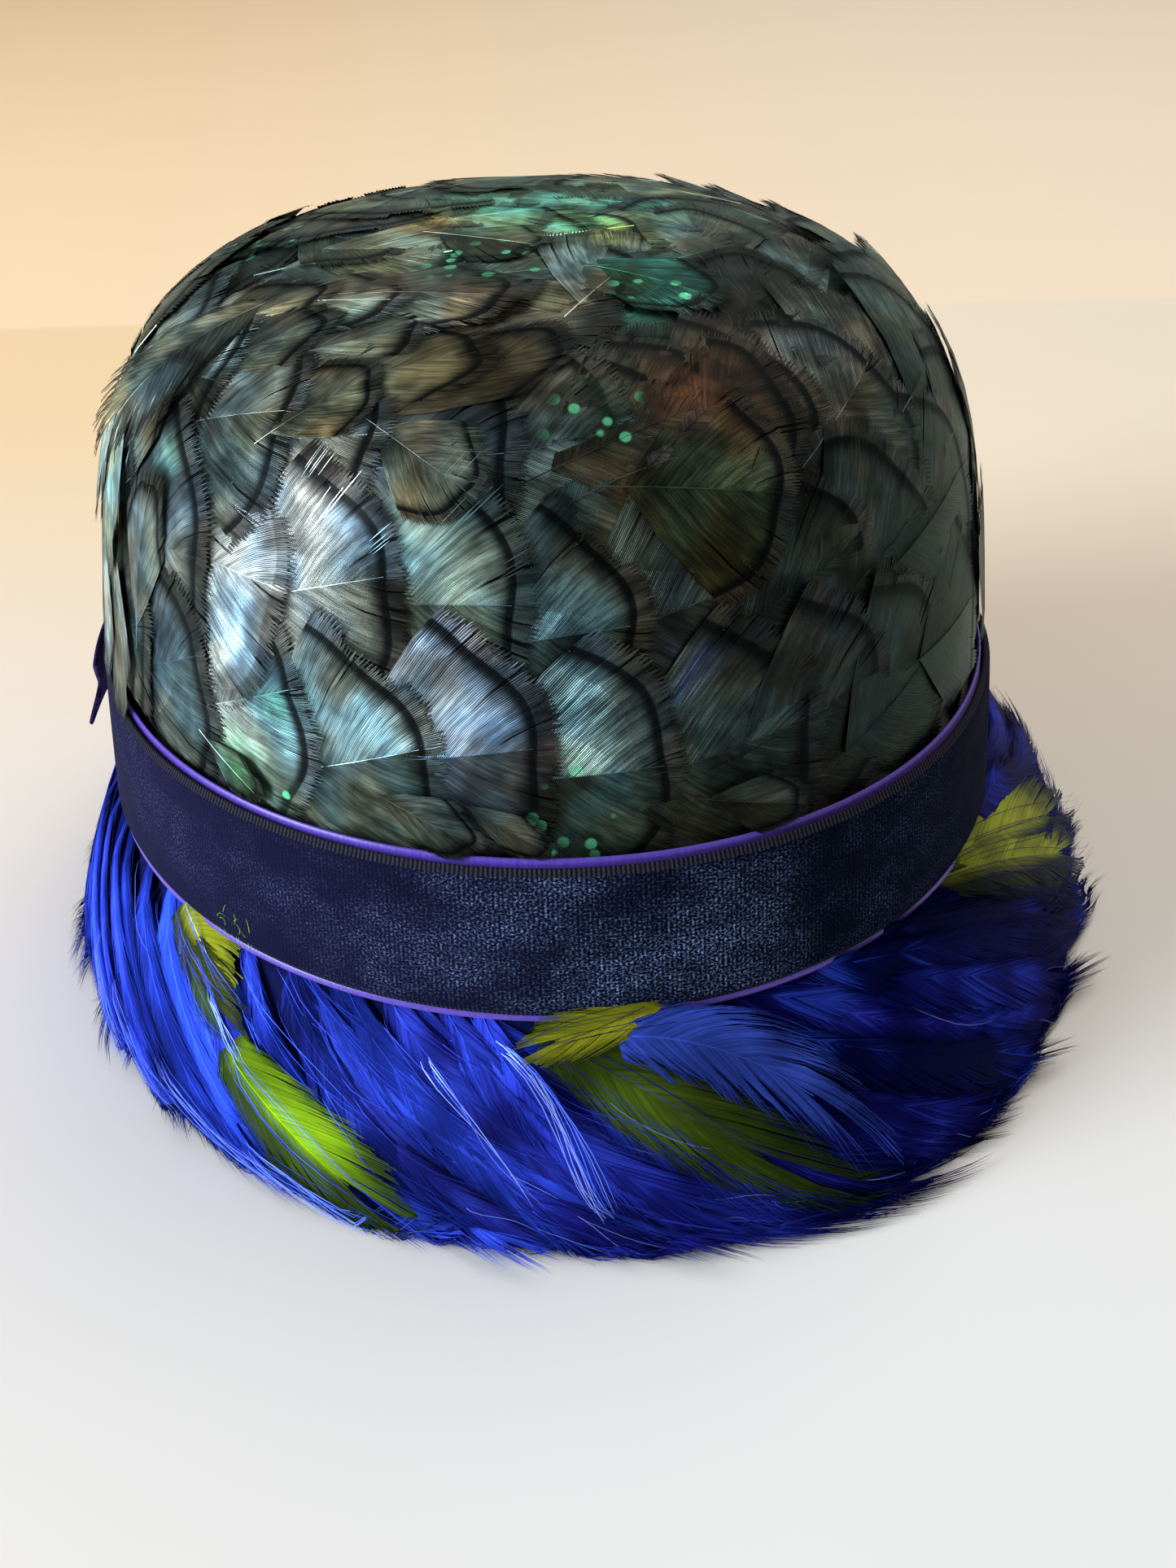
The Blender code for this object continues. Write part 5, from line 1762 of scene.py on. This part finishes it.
violet_satin = new_look(
    "violet_satin", satin_finish, Specular_IOR_Level=0.5, Sheen_Weight=0.25,
    Sheen_Tint=(0.6, 0.5, 1.0, 1.0),
)
for piece in (ribbon, picot):
    dress(piece, "violet_ribbon", violet_satin)

# %% [markdown]
# ## Velvet bow
#
# At the back left the velvet is tied in a flat bow: a wrapped knot, two folded loops and one
# notched tail. Each loop is a strip that leaves the knot, turns over and comes back, gathered
# where the knot holds it. A grid is bent along the same rows as its solid, and Solidify makes
# it velvet thick. Cloth simulation could drape the loops, but the millinery wire and stitches
# that hold them flat on the band are simpler to follow in given rows.

# %% Make strips of velvet beside the band
BOW_AZIMUTH, BOW_Z = radians(158.0), 0.0540
BOW_VELVET = 0.0011
STRIP_STATIONS, STRIP_ACROSS = 56, 14


def on_band(along, stand_off, height):
    """Points beside the velvet: along it from the bow, out from it, and up, in metres."""
    z = BOW_Z + height
    radius = band_radius(z)
    turn = BOW_AZIMUTH + along / radius
    return head_point(turn, radius, z) + level_way(turn) * (0.0003 + stand_off)[..., None]


def smooth_rows(rows, share):
    """Values between a table's rows, on a smooth curve through them."""
    last = len(rows) - 1
    place = share * last
    index = np.floor(place).astype(int).clip(0, last - 1)
    four = (rows[(index + k).clip(0, last)] for k in (-1, 0, 1, 2))
    return smooth_between(*four, (place - index)[..., None])


def velvet_strip(name, bend):
    """A grid bent by bend(share along, share across from -1 to 1), made velvet thick."""
    bpy.ops.mesh.primitive_grid_add(x_subdivisions=STRIP_STATIONS, y_subdivisions=STRIP_ACROSS)
    made = bpy.context.active_object
    made.name = made.data.name = name
    place = np.array([v.co[:2] for v in made.data.vertices])
    set_places(made, bend(0.5 * (place[:, 0] + 1.0), place[:, 1]))
    thicken(made, BOW_VELVET, 0.0)
    smooth = made.modifiers.new("smooth", "SUBSURF")
    smooth.levels = smooth.render_levels = 1
    close_up(made)
    return made


def flat_cut(bend):
    """The widest width, the length and the area of a strip before it was bent."""
    share = np.linspace(0.0, 1.0, 57)
    middle, high, low = (bend(share, 0.0 * share + across) for across in (0.0, 1.0, -1.0))
    steps = np.linalg.norm(np.diff(middle, axis=0), axis=1)
    wide = np.linalg.norm(high - low, axis=1)
    area = float((steps * 0.5 * (wide[1:] + wide[:-1])).sum())
    return (float(wide.max()), float(steps.sum())), area


print("the bow's middle:", on_band(0.0, np.zeros(1), np.zeros(1)).round(4))

# %% [markdown]
# Each strip follows a table of rows from the knot outwards. Waves that fade away from the knot
# gather the velvet there, and the tail leans, twists a little and ends in a notch.

# %% Bend the loops and the tail
KNOT_SIZE = np.array((14.0, 8.6, 22.0)) * MM
LOOP_ROWS = np.array((
    # along from the knot, stand-off, half width in mm
    (-3.0, 1.6, 6.0), (0.6, 1.3, 7.0), (8.0, 1.0, 9.5), (16.0, 1.0, 11.5), (20.5, 1.6, 12.0),
    (22.0, 3.1, 12.0), (20.5, 4.6, 12.0), (16.0, 5.0, 11.5), (8.0, 4.9, 9.5), (0.6, 4.5, 7.0),
    (-3.0, 4.2, 6.0),
))
TAIL_ROWS = np.array((
    # along from the knot, stand-off, height above the bow's middle, half width, twist in mm
    (-3.0, 6.6, 0.3, 5.4, 0.0), (0.6, 6.9, 0.0, 6.0, 0.0), (7.0, 7.4, -1.0, 7.5, 0.4),
    (14.0, 7.9, -3.0, 8.8, 1.0), (21.0, 8.1, -5.5, 9.8, 1.8), (28.0, 8.2, -8.5, 10.5, 2.6),
))


def bend_loop(side, stretch):
    """How one loop bends: out along the band, over, and back to the knot."""
    def bend(share, across):
        rows = smooth_rows(LOOP_ROWS, share)
        held = np.exp(-np.maximum(rows[:, 0] + 3.0, 0.0) / 5.0)
        gather = 0.55 * held * np.sin(5.5 * across + 4.0 * share)
        crown = 0.35 * (1.0 - across ** 2) * np.sign(share - 0.5)
        along = side * (0.5 * KNOT_SIZE[0] + stretch * rows[:, 0] * MM)
        return on_band(along, (rows[:, 1] + gather + crown * (1.0 - held)).clip(0.7) * MM,
                       across * rows[:, 2] * MM)
    return bend


def bend_tail(share, across):
    """How the tail bends: it leans down along the band and ends in a notch."""
    rows = smooth_rows(TAIL_ROWS, share)
    end = (share - 0.72).clip(0.0) / 0.28
    lean = 0.35 * across * rows[:, 3] * (share / 0.4).clip(0.0, 1.0)
    notch = 5.0 * end * (1.0 - np.abs(across))
    held = np.exp(-share / 0.18)
    gather = 0.5 * held * np.sin(5.0 * across) + 0.25 * np.sin(3.0 * across + 5.0 * share)
    along = 0.5 * KNOT_SIZE[0] + (rows[:, 0] - notch + lean) * MM
    return on_band(along, (rows[:, 1] - rows[:, 4] * across + gather) * MM,
                   (rows[:, 2] + across * rows[:, 3]) * MM)


STRIPS = (
    # name, how it bends, and how it is held
    ("bow_velvet_loop_front", bend_loop(1.0, 0.80), "folded"),
    ("bow_velvet_loop_back", bend_loop(-1.0, 1.35), "folded"),
    ("bow_velvet_tail", bend_tail, "laid"),
)
bow, cuts = [], {}
for name, bend, held in STRIPS:
    bow.append((velvet_strip(name, bend), name.replace("velvet_", "")))
    cuts[name] = (*flat_cut(bend), held)
print("flat sizes:", {name: [round(side, 4) for side in cut[0]] for name, cut in cuts.items()})

# %% [markdown]
# The knot is a short piece of velvet wrapped round the middle. A cube that is subdivided and
# made round is enough for it, with pleats on its face and a slight waist.

# %% Wrap the knot
bpy.ops.mesh.primitive_cube_add(size=2.0)
knot = bpy.context.active_object
knot.name = knot.data.name = "bow_wrapped_knot"
bpy.ops.object.mode_set(mode="EDIT")
bpy.ops.mesh.subdivide(number_cuts=23)
bpy.ops.object.mode_set(mode="OBJECT")
place = np.array([v.co for v in knot.data.vertices])
rounded = place / (np.abs(place) ** 5).sum(axis=1, keepdims=True) ** 0.2
pleat = 1.0 + 0.045 * np.sin(9.0 * rounded[:, 0] + 1.6 * rounded[:, 2]) * (rounded[:, 1] < -0.2)
waist = 1.0 - 0.10 * (1.0 - rounded[:, 2] ** 2)
along = 0.5 * KNOT_SIZE[0] * rounded[:, 0] * waist
out = 0.5 * KNOT_SIZE[1] * (1.0 - rounded[:, 1] * pleat)
set_places(knot, on_band(along, out + 0.0002, 0.5 * KNOT_SIZE[2] * rounded[:, 2]))
close_up(knot)
bow.append((knot, "bow_knot"))
print("knot:", KNOT_SIZE, "m")

# %% [markdown]
# The bow's velvet is a purple one, and crushed, so its pile lies in small patches. Real
# creases in the mesh could carry that, but it is the pile that turns and not the cloth, so
# two sizes of noise mix a lit colour into a deep one.


# %% Finish the bow
def bow_velvet_finish():
    """Crushed purple pile, lighter where it leans."""
    lean, pile = noise(70.0, 3.0).step(0.35, 0.65), noise(1900.0, 2.0).step(0.42, 0.72)
    crush = noise(230.0, 3.0, stretch=(1.0, 1.0, 0.6)).step(0.36, 0.66)
    deep = mix(lean, (0.0060, 0.0030, 0.020), (0.016, 0.0085, 0.052))
    lit = mix(lean, (0.060, 0.040, 0.170), (0.120, 0.085, 0.300))
    body = mix(pile * (0.25 + 0.75 * crush), deep, lit)
    return {"Base Color": body, "Roughness": 0.72 + 0.15 * lean,
            "Normal": bump(pile * 0.5 + crush * 0.5, 0.0003, 0.8)}


purple_velvet = new_look(
    "purple_velvet", bow_velvet_finish, Sheen_Weight=0.25, Sheen_Roughness=0.32,
    Sheen_Tint=(0.25, 0.18, 0.60, 1.0), Specular_IOR_Level=0.06,
    Specular_Tint=(0.5, 0.4, 1.0, 1.0),
)
for piece, node in bow:
    dress(piece, node, purple_velvet)
    if piece.name in cuts:
        flat, area, held = cuts[piece.name]
print("bow:", {piece.name: len(piece.data.polygons) for piece, _ in bow})

# %% [markdown]
# ## Felt
#
# The crown and the brim are stiff black wool felt, which shows only inside the hat and in
# chinks between feathers. Their solids have the right shape, so they stay and get a finish:
# matted fibres, a little uneven, and no gloss.


# %% Give the felt its fibres
def felt_finish():
    """Matted fibres, a little uneven."""
    mat = noise(700.0, 4.0, roughness=0.7)
    cloud = noise(45.0, 2.0)
    body = mix(mat, (0.006, 0.006, 0.008), (0.026, 0.025, 0.030))
    body = scaled(body, 0.8 + 0.4 * cloud)
    return {"Base Color": body, "Roughness": 0.88 + 0.1 * cloud,
            "Normal": bump(mat, 0.0005, 0.7)}


black_felt = new_look("black_felt", felt_finish, Sheen_Weight=0.2, Specular_IOR_Level=0.2)
FELT_NODES = ("crown_side", "crown_tip", "brim_base")
for name in FELT_NODES:
    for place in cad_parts[name].material_slots:
        place.material = black_felt
print("felt on:", FELT_NODES)
